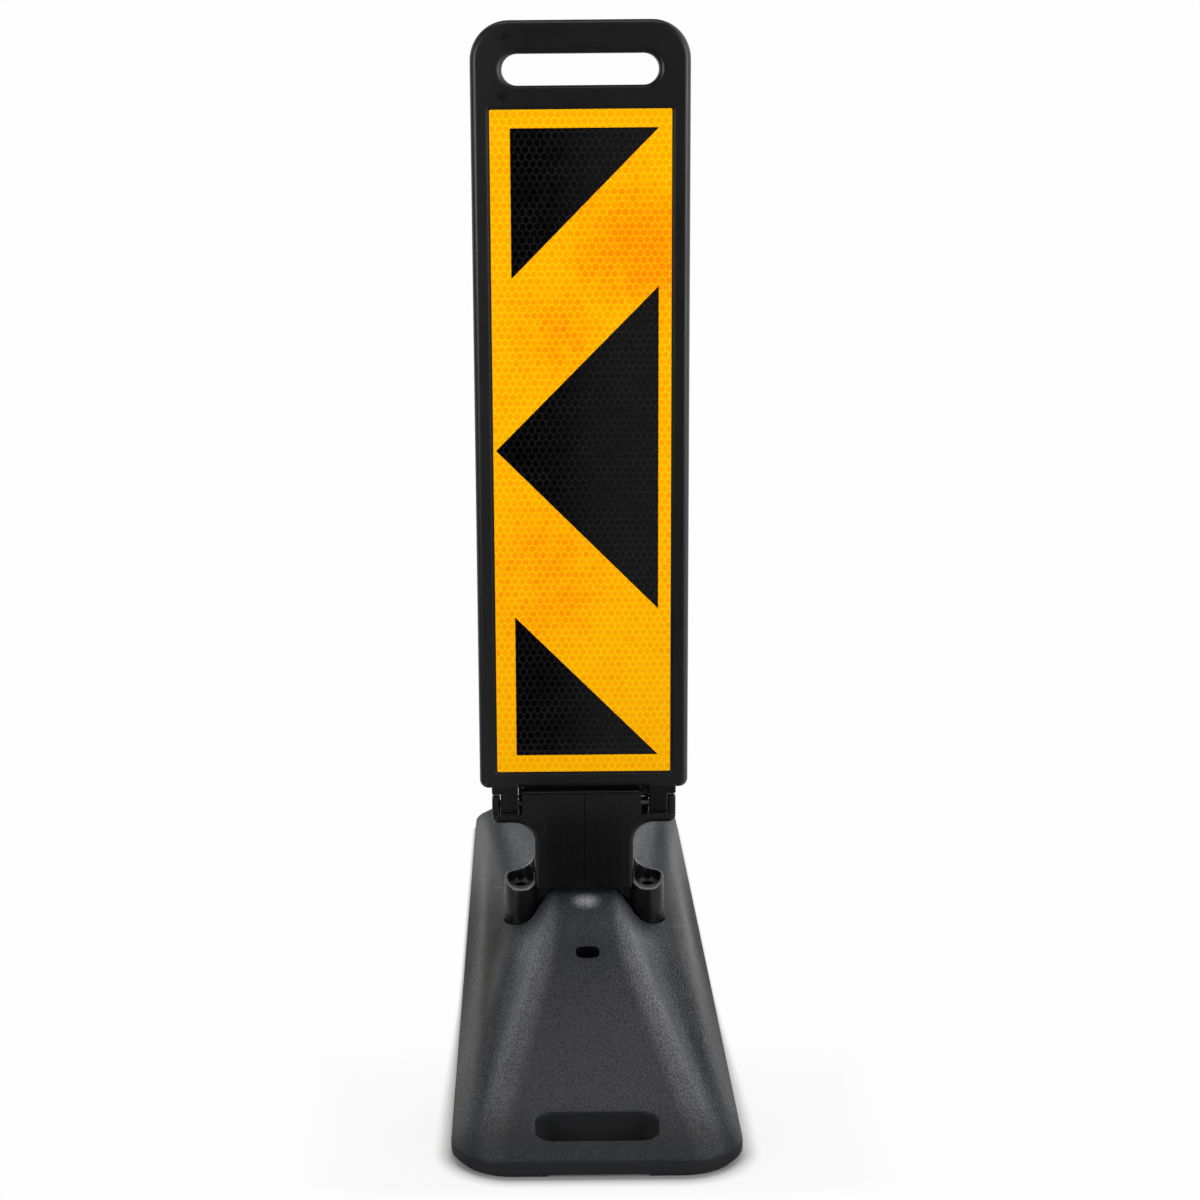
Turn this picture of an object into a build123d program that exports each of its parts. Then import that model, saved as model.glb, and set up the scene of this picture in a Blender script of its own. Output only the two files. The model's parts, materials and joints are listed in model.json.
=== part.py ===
from build123d import *
import math
import os

# A marker panel that hinges on a neck bracket, which is bolted to a long rubber base.
# X runs across the base, Y along it (the sheeting faces -Y) and Z up; the origin is
# the middle of the base's underside. All sizes are millimetres.

# Base outline and height
BASE_LENGTH = 908.0
BASE_WIDTH = 224.0
BASE_CORNER_RADIUS = 48.0
BASE_EDGE_HEIGHT = 12.0
BASE_EDGE_ROUND = 3.0
BASE_FOOT_CHAMFER = 4.5

# Lower tier of the base: a rounded shoulder that falls towards both ends
SHOULDER_WIDTH = 22.0
SHOULDER_HEIGHT_MIDDLE = 41.0
SHOULDER_HEIGHT_END = 19.0

# Upper tier of the base: a hump with a ramp down to each end
CREST_HALF_LENGTH = 30.0
CREST_HEIGHT = 69.0
RAMP_END_HEIGHT = 20.5
RIDGE_HALF_WIDTH_MIDDLE = 5.0
RIDGE_END_MARGIN = 29.0
FLANK_WIDTH_MIDDLE = 71.0
FLANK_WIDTH_END = 21.5
FLANK_TOP_POWER = 3.2
FLANK_FOOT_POWER = 2.7

# Sections that the base is lofted through, closer together where its form turns
RAMP_SECTIONS = 12
RIDGE_SHARES = (0.0, 0.4, 0.75, 1.0)
FLANK_SHARES = (0.15, 0.3, 0.4, 0.5, 0.6, 0.7, 0.85, 1.0)
SKIRT_SHARES = (0.25, 0.45, 0.6, 0.7, 0.8, 0.9, 1.0)

# Openings of the base
HAND_SLOT_LENGTH = 94.0
HAND_SLOT_WIDTH = 38.5
HAND_SLOT_CORNER_RADIUS = 13.0
HAND_SLOT_END_BAR = 20.5
HAND_SLOT_EDGE_ROUND = 3.0
ANCHOR_HOLE_RADIUS = 10.0
ANCHOR_HOLE_OFFSET = 130.5
ANCHOR_MOUTH_SIDE_MARGIN = 0.25
ANCHOR_MOUTH_END_MARGIN = 1.25
ANCHOR_MOUTH_CORNER_RADIUS = 7.5
ANCHOR_MOUTH_DEPTH = 12.0
ANCHOR_MOUTH_EDGE_ROUND = 1.0
END_RECESS_LENGTH = 78.0
END_RECESS_HEIGHT = 3.0
END_RECESS_DEPTH = 10.0

# Bracket head with its hinge ears
BRACKET_THICKNESS = 18.0
BRACKET_EDGE_ROUND = 4.5
HEAD_WIDTH = 171.0
HEAD_CROWN_RADIUS = 15.3
HEAD_CROWN_EDGE_ROUND = 1.0
HEAD_CROWN_END_ROUND = 2.0
HEAD_CROWN_GAP = 0.7
HEAD_DROP = 17.6
HEAD_CORNER_RADIUS = 6.0
EAR_WALL = 7.5
EAR_THICKNESS = 12.5
EAR_RISE = 8.2
EAR_EDGE_ROUND = 2.5
EAR_TOP_ROUND = 2.0

# Bracket neck, the web behind it that stands over the hump, and the ribs
NECK_WIDTH = 93.0
NECK_BOTTOM = 74.0
NECK_TOP_FILLET = 19.0
NECK_FOOT_ROUND = 1.0
NECK_FACE_WALL = 3.5
WEB_TOP = 85.5
WEB_THICKNESS = 8.0
WEB_SETBACK = 1.0
WEB_FILLET = 20.0
WEB_EDGE_ROUND = 1.2
RIB_COUNT = 7
RIB_PITCH = 11.0
RIB_THICKNESS = 3.0
RIB_POCKET_TOP_BAR = 3.5
RIB_POCKET_BOTTOM_BAR = 3.0
RIB_POCKET_ROUND = 1.5
SADDLE_GAP = 0.5

# Bosses of the bracket, each with a cup that is cut low in front for a spanner
BOSS_OFFSET = 59.5
BOSS_RADIUS = 15.3
BOSS_FRONT_HEIGHT = 74.6
BOSS_RIM_SLANT = 29.5
BOSS_RIM_ROUND = 1.4
BOSS_CUP_WALL = 3.0
BOSS_CUP_FLOOR = 76.0
BOSS_HOLE_RADIUS = 5.75
BOSS_SOCKET_GAP = 1.0
BOSS_SOCKET_DEPTH = 2.0
BOSS_SOCKET_EDGE_ROUND = 0.8

# Fasteners that hold the bracket down
BOLT_RADIUS = 5.0
BOLT_HEAD_FLATS = 16.0
BOLT_HEAD_HEIGHT = 6.4
BOLT_HOLE_GAP = 0.5
INSERT_RADIUS = 7.5
INSERT_LENGTH = 16.0
WASHER_RADIUS = 9.0
WASHER_THICKNESS = 2.2
PLATE_LENGTH = 156.0
PLATE_WIDTH = 34.0
PLATE_THICKNESS = 4.0
PLATE_CORNER_RADIUS = 6.0
PLATE_RECESS_GAP = 0.5
HEAD_RECESS = 1.5

# Hinge
HINGE_HEIGHT = 155.2
PIN_RADIUS = 3.0
PIN_END_RECESS = 0.5
PIN_RUNNING_GAP = 0.05
TAB_SWING_GAP = 0.6
TAB_NOTCH_DROP = 9.7

# Return springs
WIRE_RADIUS = 1.5
COIL_RADIUS = 5.0
COIL_PITCH = 3.6
COIL_TURNS = 4
LEG_BEND_RADIUS = 3.2
LEG_ENGAGEMENT = 8.0
FIXED_LEG_LENGTH = 8.0
SPRING_GAP = 0.3
SPRING_WALL = 3.5
SPRING_BAY_MARGIN = 1.0

# Panel, which frames the sheeting
PANEL_SIDE_RAIL = 16.5
PANEL_BOTTOM_RAIL = 16.3
PANEL_HEAD = 76.0
PANEL_THICKNESS = 16.5
PANEL_TOP_RADIUS = 34.0
PANEL_BOTTOM_RADIUS = 8.0
PANEL_EDGE_ROUND = 6.0
HANDLE_LENGTH = 137.5
HANDLE_HEIGHT = 27.0
HANDLE_TOP_BAR = 28.5
HANDLE_EDGE_ROUND = 5.5
RECESS_DEPTH = 1.6
RECESS_GAP = 2.0
RECESS_CORNER_RADIUS = 3.0

# Hinge tabs of the panel
TAB_WIDTH = 16.5
TAB_REACH = 10.4
TAB_FOOT_HALF_FLAT = 0.25
TAB_SIDE_ROUND = 0.8
TAB_EAR_GAP = 0.5
TAB_HEAD_GAP = 0.25
TAB_LEFT_GAP = 3.5
TAB_RIGHT_GAP = 7.5
TAB_GAP_BACK_WALL = 1.2
TAB_BLOCK_GAP = 2.4
TAB_BLOCK_ROUND = 1.5

# Sheeting and the black overlay film on it
SHEET_WIDTH = 160.0
SHEET_HEIGHT = 600.0
SHEET_THICKNESS = 0.6
SHEET_CORNER_RADIUS = 1.5
FILM_THICKNESS = 0.25
FILM_RIGHT_MARGIN = 11.5
FILM_LEFT_MARGIN = 18.0
FILM_TIP_MARGIN = 2.5
FILM_END_MARGIN = 16.0

# Values that follow from the sizes above
OVERRUN = 2.0
SAME_PLACE = 0.01
SURFACE_TOLERANCE = 0.5
HALF_LENGTH = BASE_LENGTH / 2
HALF_WIDTH = BASE_WIDTH / 2
RIDGE_HALF_WIDTH_END = HALF_WIDTH - RIDGE_END_MARGIN
ANCHOR_MOUTH_WIDTH = 2 * (ANCHOR_HOLE_RADIUS + ANCHOR_MOUTH_SIDE_MARGIN)
ANCHOR_MOUTH_LENGTH = 2 * (ANCHOR_HOLE_RADIUS + ANCHOR_MOUTH_END_MARGIN)
HEAD_BOTTOM = HINGE_HEIGHT - HEAD_DROP
PANEL_WIDTH = SHEET_WIDTH + 2 * PANEL_SIDE_RAIL
PANEL_LIFT = HEAD_CROWN_RADIUS + HEAD_CROWN_GAP
PANEL_BOTTOM = HINGE_HEIGHT + PANEL_LIFT
SHEET_BOTTOM = PANEL_BOTTOM + PANEL_BOTTOM_RAIL
PANEL_TOP = SHEET_BOTTOM + SHEET_HEIGHT + PANEL_HEAD
EAR_INNER = HEAD_WIDTH / 2 - EAR_WALL
TAB_OUTER = EAR_INNER - TAB_EAR_GAP
TAB_INNER = TAB_OUTER - TAB_WIDTH
TAB_NOTCH_INNER = TAB_INNER - TAB_HEAD_GAP
TAB_FOOT_ROUND = PANEL_THICKNESS / 2 - TAB_FOOT_HALF_FLAT
TAB_BLOCK_LIFT = EAR_RISE + TAB_BLOCK_GAP
COIL_LEAN = COIL_PITCH / math.hypot(COIL_PITCH, 2 * math.pi * COIL_RADIUS)
LEG_OFFSET = LEG_BEND_RADIUS * (1 - COIL_LEAN)
LEG_RADIUS = math.hypot(COIL_RADIUS, LEG_OFFSET)
SEAT_HEIGHT = SHOULDER_HEIGHT_MIDDLE - BOSS_SOCKET_DEPTH
BOLT_HEAD_TOP = HEAD_RECESS + BOLT_HEAD_HEIGHT
PLATE_BOTTOM = BOLT_HEAD_TOP + WASHER_THICKNESS
PLATE_TOP = PLATE_BOTTOM + PLATE_THICKNESS
INSERT_TOP = SEAT_HEIGHT + INSERT_LENGTH
WEB_BACK = BOSS_RADIUS - WEB_SETBACK
WEB_NECK_TOP = WEB_TOP + WEB_FILLET
RIB_POCKET_BOTTOM = WEB_NECK_TOP + RIB_POCKET_BOTTOM_BAR
RIB_POCKET_TOP = HEAD_BOTTOM - RIB_POCKET_TOP_BAR
SIDES = (-1, 1)
UPRIGHT = (Align.CENTER, Align.CENTER, Align.MIN)
HANGING = (Align.CENTER, Align.MAX)


def post(radius, bottom, top):
    """Upright cylinder between two heights."""
    return Pos(0, 0, bottom) * Cylinder(radius, top - bottom, align=UPRIGHT)


def body_edge(side):
    """Half-width of the bracket's middle block on one side."""
    return TAB_INNER - (TAB_RIGHT_GAP if side > 0 else TAB_LEFT_GAP)


def along(y, at_middle, at_end):
    """Value that runs straight from the crest's edge to the base's end."""
    share = max(0.0, (abs(y) - CREST_HALF_LENGTH) / (HALF_LENGTH - CREST_HALF_LENGTH))
    return at_middle + (at_end - at_middle) * share


def edge_distance(x, y):
    """Distance of a point from the base's rounded outline, positive inside."""
    over_x = abs(x) - (HALF_WIDTH - BASE_CORNER_RADIUS)
    over_y = abs(y) - (HALF_LENGTH - BASE_CORNER_RADIUS)
    outside = math.hypot(max(over_x, 0.0), max(over_y, 0.0))
    return BASE_CORNER_RADIUS - outside - min(max(over_x, over_y), 0.0)


def shoulder_rise(share):
    """Quarter-sine rise of the outer slope, carried straight on outside the outline."""
    if share < 0:
        return share * math.pi / 2
    return math.sin(min(share, 1.0) * math.pi / 2)


def flank_fall(share):
    """Fall of the hump's flank from 0 to 1, well rounded at the top and softer at the foot."""
    share = min(max(share, 0.0), 1.0)
    fallen = share**FLANK_TOP_POWER
    return fallen / (fallen + (1 - share) ** FLANK_FOOT_POWER)


def base_top(x, y):
    """Height of the base's moulded top."""
    shoulder = along(y, SHOULDER_HEIGHT_MIDDLE, SHOULDER_HEIGHT_END)
    ramp = along(y, CREST_HEIGHT, RAMP_END_HEIGHT)
    ridge = along(y, RIDGE_HALF_WIDTH_MIDDLE, RIDGE_HALF_WIDTH_END)
    flank = along(y, FLANK_WIDTH_MIDDLE, FLANK_WIDTH_END)
    hump = 1 - flank_fall((abs(x) - ridge) / flank)
    rise = shoulder_rise(edge_distance(x, y) / SHOULDER_WIDTH)
    return BASE_EDGE_HEIGHT + (shoulder - BASE_EDGE_HEIGHT) * rise + (ramp - shoulder) * hump


def section_offsets(y):
    """Places across a section: over the ramp, down the flank and out to the edge."""
    ridge = along(y, RIDGE_HALF_WIDTH_MIDDLE, RIDGE_HALF_WIDTH_END)
    foot = ridge + along(y, FLANK_WIDTH_MIDDLE, FLANK_WIDTH_END)
    outer = HALF_WIDTH + OVERRUN
    offsets = [ridge * share for share in RIDGE_SHARES]
    offsets += [ridge + (foot - ridge) * share for share in FLANK_SHARES]
    offsets += [foot + (outer - foot) * share for share in SKIRT_SHARES]
    return [-offset for offset in reversed(offsets[1:])] + offsets


def base_section(y, bottom, lift=0.0):
    """Closed cross-section of the base, with its top raised by lift."""
    offsets = section_offsets(y)
    top = [(x, y, base_top(x, y) + lift) for x in offsets]
    left = (offsets[0], y, bottom)
    right = (offsets[-1], y, bottom)
    outline = Spline(*top) + Polyline(top[-1], right, left, top[0])
    return make_face(outline)


def opening_rim(body, place, length, width):
    """Upper edges of an opening in the base's top."""

    def on_rim(edge):
        middle = edge @ 0.5
        on_top = abs(middle.Z - base_top(middle.X, middle.Y)) < SURFACE_TOLERANCE
        inside = abs(middle.X - place[0]) < length / 2 + SAME_PLACE
        return on_top and inside and abs(middle.Y - place[1]) < width / 2 + SAME_PLACE

    return body.edges().filter_by(on_rim)


def base_solid():
    """Long rubber base with its ramps, hand slots, anchor holes and boss sockets."""
    stations = [0.0, CREST_HALF_LENGTH / 2]
    for step in range(RAMP_SECTIONS + 1):
        share = math.sin(step / RAMP_SECTIONS * math.pi / 2)
        stations.append(CREST_HALF_LENGTH + (HALF_LENGTH - CREST_HALF_LENGTH) * share)
    stations.append(HALF_LENGTH + OVERRUN)
    stations = [-y for y in reversed(stations[1:])] + stations
    body = loft([base_section(y, -OVERRUN) for y in stations])
    outline = RectangleRounded(BASE_WIDTH, BASE_LENGTH, BASE_CORNER_RADIUS)
    body = body & extrude(outline, CREST_HEIGHT + OVERRUN)
    rim = body.edges().filter_by(lambda edge: edge.center().Z > BASE_EDGE_HEIGHT / 2)
    rim = rim.filter_by(lambda edge: abs(edge_distance(edge.center().X, edge.center().Y)) < OVERRUN)
    rim = rim.filter_by(Axis.Z, reverse=True)
    body = fillet(rim, BASE_EDGE_ROUND)
    body = chamfer(body.faces().sort_by(Axis.Z)[0].edges(), BASE_FOOT_CHAMFER)

    slot = RectangleRounded(HAND_SLOT_LENGTH, HAND_SLOT_WIDTH, HAND_SLOT_CORNER_RADIUS)
    slot_place = HALF_LENGTH - HAND_SLOT_END_BAR - HAND_SLOT_WIDTH / 2
    recess = Box(END_RECESS_LENGTH, 2 * END_RECESS_DEPTH, 2 * END_RECESS_HEIGHT)
    recess = fillet(recess.edges().filter_by(Axis.Z), END_RECESS_DEPTH / 2)
    mouth = RectangleRounded(ANCHOR_MOUTH_WIDTH, ANCHOR_MOUTH_LENGTH, ANCHOR_MOUTH_CORNER_RADIUS)
    mouth_floor = base_top(0, ANCHOR_HOLE_OFFSET) - ANCHOR_MOUTH_DEPTH
    mouth = Pos(0, 0, mouth_floor) * extrude(mouth, CREST_HEIGHT)
    for side in SIDES:
        place = (0, side * slot_place)
        body -= Pos(*place) * extrude(slot, CREST_HEIGHT)
        rim = opening_rim(body, place, HAND_SLOT_LENGTH, HAND_SLOT_WIDTH)
        body = fillet(rim, HAND_SLOT_EDGE_ROUND)
        place = (0, side * ANCHOR_HOLE_OFFSET)
        body -= Pos(*place) * mouth
        rim = opening_rim(body, place, ANCHOR_MOUTH_WIDTH, ANCHOR_MOUTH_LENGTH)
        body = fillet(rim, ANCHOR_MOUTH_EDGE_ROUND)
        body -= Pos(*place) * post(ANCHOR_HOLE_RADIUS, 0, CREST_HEIGHT)
        body -= Pos(0, side * HALF_LENGTH) * recess

    socket_radius = BOSS_RADIUS + BOSS_SOCKET_GAP
    socket = post(socket_radius, SEAT_HEIGHT, CREST_HEIGHT)
    socket += post(BOLT_RADIUS + BOLT_HOLE_GAP, 0, CREST_HEIGHT)
    for side in SIDES:
        place = (side * BOSS_OFFSET, 0)
        body -= Pos(*place) * socket
        rim = opening_rim(body, place, 2 * socket_radius, 2 * socket_radius)
        body = fillet(rim, BOSS_SOCKET_EDGE_ROUND)
    seat = RectangleRounded(
        PLATE_LENGTH + 2 * PLATE_RECESS_GAP,
        PLATE_WIDTH + 2 * PLATE_RECESS_GAP,
        PLATE_CORNER_RADIUS + PLATE_RECESS_GAP,
    )
    return body - extrude(seat, PLATE_TOP)


def boss_solid():
    """Round foot with a cup on top; its rim slants down to the front."""
    size = 4 * BOSS_RADIUS
    above_rim = Box(size, size, size, align=(Align.CENTER, Align.CENTER, Align.MIN))
    above_rim = Pos(0, -BOSS_RADIUS, BOSS_FRONT_HEIGHT) * Rot(BOSS_RIM_SLANT, 0, 0) * above_rim
    boss = post(BOSS_RADIUS, SEAT_HEIGHT, WEB_TOP) - above_rim
    rim = boss.edges().filter_by(lambda edge: (edge @ 0).Z > BOSS_FRONT_HEIGHT - SAME_PLACE)
    rim = rim.filter_by(lambda edge: math.hypot((edge @ 0.5).X, (edge @ 0.5).Y) > BOSS_RADIUS - SAME_PLACE)
    return fillet(rim, BOSS_RIM_ROUND)


def boss_bores():
    """Cup, hole and insert seat of one boss, as the space they leave."""
    cup = post(BOSS_RADIUS - BOSS_CUP_WALL, BOSS_CUP_FLOOR, HEAD_BOTTOM - NECK_TOP_FILLET)
    hole = post(BOSS_HOLE_RADIUS, SEAT_HEIGHT, WEB_TOP)
    seat = post(INSERT_RADIUS, SEAT_HEIGHT, INSERT_TOP)
    return cup + hole + seat


def fillet_inner_corners(outline, height, radius):
    """Round the corners where the neck's sides meet a wider piece at a height."""
    corners = outline.vertices().filter_by(lambda v: abs(abs(v.X) - NECK_WIDTH / 2) < SAME_PLACE)
    return fillet(corners.filter_by(lambda v: abs(v.Y - height) < SAME_PLACE), radius)


def neck_solid():
    """Head and neck of the bracket, with rounded edges."""
    half = BRACKET_THICKNESS / 2
    head = Pos(0, HINGE_HEIGHT) * Rectangle(HEAD_WIDTH, HEAD_DROP, align=HANGING)
    head = fillet(head.vertices().group_by(Axis.Y)[0], HEAD_CORNER_RADIUS)
    neck_top = HEAD_BOTTOM + OVERRUN
    neck = Pos(0, neck_top) * Rectangle(NECK_WIDTH, neck_top - NECK_BOTTOM, align=HANGING)
    outline = fillet_inner_corners(head + neck, HEAD_BOTTOM, NECK_TOP_FILLET)
    body = extrude(Plane.XZ * outline, half, both=True)
    by_height = edges_on_faces(body, half).group_by(Axis.Z)
    body = fillet(edges_on_faces(body, half) - by_height[0] - by_height[-1], BRACKET_EDGE_ROUND)
    return fillet(body.faces().sort_by(Axis.Z)[0].edges(), NECK_FOOT_ROUND)


def crown_solid():
    """Round top of the head, centred on the hinge so that the panel swings over it."""
    left, right = (side * body_edge(side) for side in SIDES)
    crown = Rot(0, 90, 0) * Cylinder(HEAD_CROWN_RADIUS, right - left)
    crown = fillet(crown.edges().filter_by(GeomType.CIRCLE), HEAD_CROWN_END_ROUND)
    crown = crown & Box(right - left, BRACKET_THICKNESS, HEAD_CROWN_RADIUS, align=UPRIGHT)
    upper = edges_on_faces(crown, BRACKET_THICKNESS / 2)
    upper = upper.filter_by(lambda edge: edge.center().Z > HEAD_CROWN_RADIUS / 2)
    crown = fillet(upper.filter_by(Axis.Z, reverse=True), HEAD_CROWN_EDGE_ROUND)
    return Pos((left + right) / 2, 0, HINGE_HEIGHT) * crown


def gap_wall_solid(side):
    """Wall that closes the gap beside a tab at the back, hollow round the spring's leg."""
    width = TAB_NOTCH_INNER - body_edge(side)
    wall = Cylinder(HEAD_CROWN_RADIUS, width) - Cylinder(LEG_RADIUS + WIRE_RADIUS + SPRING_GAP, width)
    back = Box(width, BRACKET_THICKNESS / 2, HEAD_CROWN_RADIUS, align=(Align.CENTER, Align.MIN, Align.MIN))
    return Pos(side * (TAB_NOTCH_INNER - width / 2), 0, HINGE_HEIGHT) * (Rot(0, 90, 0) * wall & back)


def web_solid():
    """Plate that joins the bosses over the hump and runs up behind the neck."""
    width = NECK_WIDTH + 2 * WEB_FILLET + OVERRUN
    plate = Pos(0, WEB_TOP) * Rectangle(width, WEB_TOP - SEAT_HEIGHT, align=HANGING)
    strip = Pos(0, WEB_NECK_TOP) * Rectangle(NECK_WIDTH, WEB_FILLET + OVERRUN, align=HANGING)
    outline = fillet_inner_corners(plate + strip, WEB_TOP, WEB_FILLET)
    web = extrude(Plane.XZ * outline, WEB_THICKNESS)
    web = fillet(web.edges().filter_by(GeomType.CIRCLE), WEB_EDGE_ROUND)
    return Pos(0, WEB_BACK) * web


def ear_solid(side):
    """Hinge ear, a post with rounded edges that stands set back on the end of the head."""
    depth = TAB_NOTCH_DROP + OVERRUN
    ear = Box(EAR_WALL, EAR_THICKNESS, depth + EAR_RISE, align=UPRIGHT)
    ear = fillet(ear.edges().filter_by(Axis.Z), EAR_EDGE_ROUND)
    ear = fillet(ear.faces().sort_by(Axis.Z)[-1].edges(), EAR_TOP_ROUND)
    return Pos(side * (HEAD_WIDTH - EAR_WALL) / 2, 0, HINGE_HEIGHT - depth) * ear


def tab_sweep():
    """Radius that a hinge tab's rounded lower corners sweep about the pin."""
    across = PANEL_THICKNESS / 2 - TAB_FOOT_ROUND
    return math.hypot(across, TAB_REACH - TAB_FOOT_ROUND) + TAB_FOOT_ROUND


def spring_bay(side):
    """Pocket behind the bracket's face for one spring, with the arc slot for its leg."""
    outer = body_edge(side) - SPRING_WALL
    room = COIL_RADIUS + WIRE_RADIUS + SPRING_GAP
    inner = spring_start(side) - WIRE_RADIUS - SPRING_BAY_MARGIN
    low = -FIXED_LEG_LENGTH - SPRING_BAY_MARGIN
    high = LEG_RADIUS + WIRE_RADIUS + SPRING_GAP
    bay = Box(outer - inner, BRACKET_THICKNESS, high - low)
    bay = Pos((inner + outer) / 2, BRACKET_THICKNESS / 2 - room, (high + low) / 2) * bay
    slot = Cylinder(LEG_RADIUS + WIRE_RADIUS + SPRING_GAP, SPRING_WALL + OVERRUN)
    slot -= Cylinder(LEG_RADIUS - WIRE_RADIUS - SPRING_GAP, SPRING_WALL + OVERRUN)
    slot = Rot(0, 90, 0) * slot
    reach = 2 * (LEG_RADIUS + WIRE_RADIUS + SPRING_GAP)
    half = Box(2 * SPRING_WALL + OVERRUN, reach, reach, align=UPRIGHT)
    half = Pos(0, 0, -WIRE_RADIUS - SPRING_GAP) * half
    slot = Pos(outer + SPRING_WALL / 2) * (slot & half)
    space = Pos(0, 0, HINGE_HEIGHT) * (bay + slot)
    return space if side > 0 else mirror(space, about=Plane.YZ)


def head_opening(side, inner, outer, back_wall):
    """Space cut down into the head between two places, up to a wall at the back."""
    depth = 2 * BRACKET_THICKNESS
    height = TAB_NOTCH_DROP + HEAD_CROWN_RADIUS + OVERRUN
    space = Box(outer - inner, depth, height, align=(Align.CENTER, Align.MAX, Align.MIN))
    back = BRACKET_THICKNESS / 2 - back_wall if back_wall else BRACKET_THICKNESS
    return Pos(side * (inner + outer) / 2, back, HINGE_HEIGHT - TAB_NOTCH_DROP) * space


def bracket_solid():
    """T-shaped neck moulding with hinge ears, ribbed back, spring bays and bosses."""
    body = neck_solid()
    body += crown_solid()
    for side in SIDES:
        body -= head_opening(side, TAB_NOTCH_INNER, HEAD_WIDTH / 2 + OVERRUN, 0.0)
        body -= head_opening(side, body_edge(side), TAB_NOTCH_INNER, TAB_GAP_BACK_WALL)
        body += gap_wall_solid(side)
        body += ear_solid(side)
        trough = Rot(0, 90, 0) * Cylinder(tab_sweep() + TAB_SWING_GAP, EAR_INNER - TAB_NOTCH_INNER)
        body -= Pos(side * (TAB_NOTCH_INNER + EAR_INNER) / 2, 0, HINGE_HEIGHT) * trough
        body -= spring_bay(side)
    body -= Pos(0, 0, HINGE_HEIGHT) * Rot(0, 90, 0) * Cylinder(PIN_RADIUS, HEAD_WIDTH + OVERRUN)

    pocket = Box(
        RIB_PITCH - RIB_THICKNESS,
        BRACKET_THICKNESS,
        RIB_POCKET_TOP - RIB_POCKET_BOTTOM,
        align=(Align.CENTER, Align.MIN, Align.MIN),
    )
    pocket = fillet(pocket.edges().filter_by(Axis.Y), RIB_POCKET_ROUND)
    for index in range(RIB_COUNT - 1):
        x = (index - (RIB_COUNT - 2) / 2) * RIB_PITCH
        body -= Pos(x, NECK_FACE_WALL - BRACKET_THICKNESS / 2, RIB_POCKET_BOTTOM) * pocket

    body += web_solid()
    body -= extrude(base_section(0.0, -OVERRUN, SADDLE_GAP), BRACKET_THICKNESS, both=True)
    for side in SIDES:
        place = Pos(side * BOSS_OFFSET)
        body += place * boss_solid()
        body -= place * boss_bores()
    return body


def spring_start(side):
    """Place along X where a spring's coil starts, counted outwards from the middle."""
    length = COIL_PITCH * coil_turn_total()
    return body_edge(side) - SPRING_WALL - LEG_BEND_RADIUS - WIRE_RADIUS - length


def coil_turn_total():
    """Turns between the fixed leg in front of the pin and the moving leg above it."""
    lead = math.degrees(math.atan2(LEG_OFFSET, COIL_RADIUS))
    return COIL_TURNS + (90 - lead) / 360


def coil_point(turn, side):
    """Point and direction of travel on the coil after a number of turns."""
    angle = math.pi - 2 * math.pi * turn
    point = Vector(
        side * (spring_start(side) + COIL_PITCH * turn),
        COIL_RADIUS * math.cos(angle),
        HINGE_HEIGHT + COIL_RADIUS * math.sin(angle),
    )
    round_step = 2 * math.pi * COIL_RADIUS
    direction = Vector(side * COIL_PITCH, round_step * math.sin(angle), -round_step * math.cos(angle))
    return point, direction.normalized()


def two_arcs(start, start_way, end, end_way):
    """Two arcs that leave start and reach end along the given directions."""
    gap = end - start
    turn = 2 * (1 - start_way.dot(end_way))
    run = gap.dot(start_way + end_way)
    reach = (math.sqrt(run * run + turn * gap.dot(gap)) - run) / turn
    middle = (start + end + (start_way - end_way) * reach) / 2
    first = TangentArc(start, middle, tangent=start_way)
    return [first, TangentArc(middle, end, tangent=first % 1)]


def spring_path(side):
    """Fixed leg, coil in quarter turns, bend, and the moving leg along X."""
    total = coil_turn_total()
    steps = math.ceil(total * 4)
    start, way = coil_point(0.0, side)
    edges = [Line(start - way * FIXED_LEG_LENGTH, start)]
    for step in range(1, steps + 1):
        point, next_way = coil_point(total * step / steps, side)
        edges += two_arcs(start, way, point, next_way)
        start, way = point, next_way
    outward = Vector(side, 0, 0)
    turn = math.acos(way.dot(outward))
    inward = (outward - way * way.dot(outward)).normalized()
    bend_end = start + (way * math.sin(turn) + inward * (1 - math.cos(turn))) * LEG_BEND_RADIUS
    edges.append(TangentArc(start, bend_end, tangent=way))
    leg_end = side * (TAB_INNER + LEG_ENGAGEMENT)
    edges.append(Line(bend_end, Vector(leg_end, bend_end.Y, bend_end.Z)))
    return Wire(edges)


def spring_solid(side):
    """Torsion spring wound round the hinge pin."""
    path = spring_path(side)
    section = Plane(origin=path @ 0, z_dir=path % 0) * Circle(WIRE_RADIUS)
    return sweep(section, path)


def least_gap(path):
    """Least free distance of a spring's wire to itself, measured on points of its path."""
    spacing = WIRE_RADIUS / 2
    count = int(path.length / spacing)
    skip = int(math.pi * COIL_RADIUS / spacing)
    points = [path @ (index / count) for index in range(count + 1)]
    pairs = ((a, b) for i, a in enumerate(points) for b in points[i + skip:])
    return min((a - b).length for a, b in pairs) - 2 * WIRE_RADIUS


def edges_on_faces(body, half):
    """Edges that lie on the front and back planes of a plate."""
    return body.edges().filter_by(lambda edge: abs(abs(edge.center().Y) - half) < SAME_PLACE)


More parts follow.
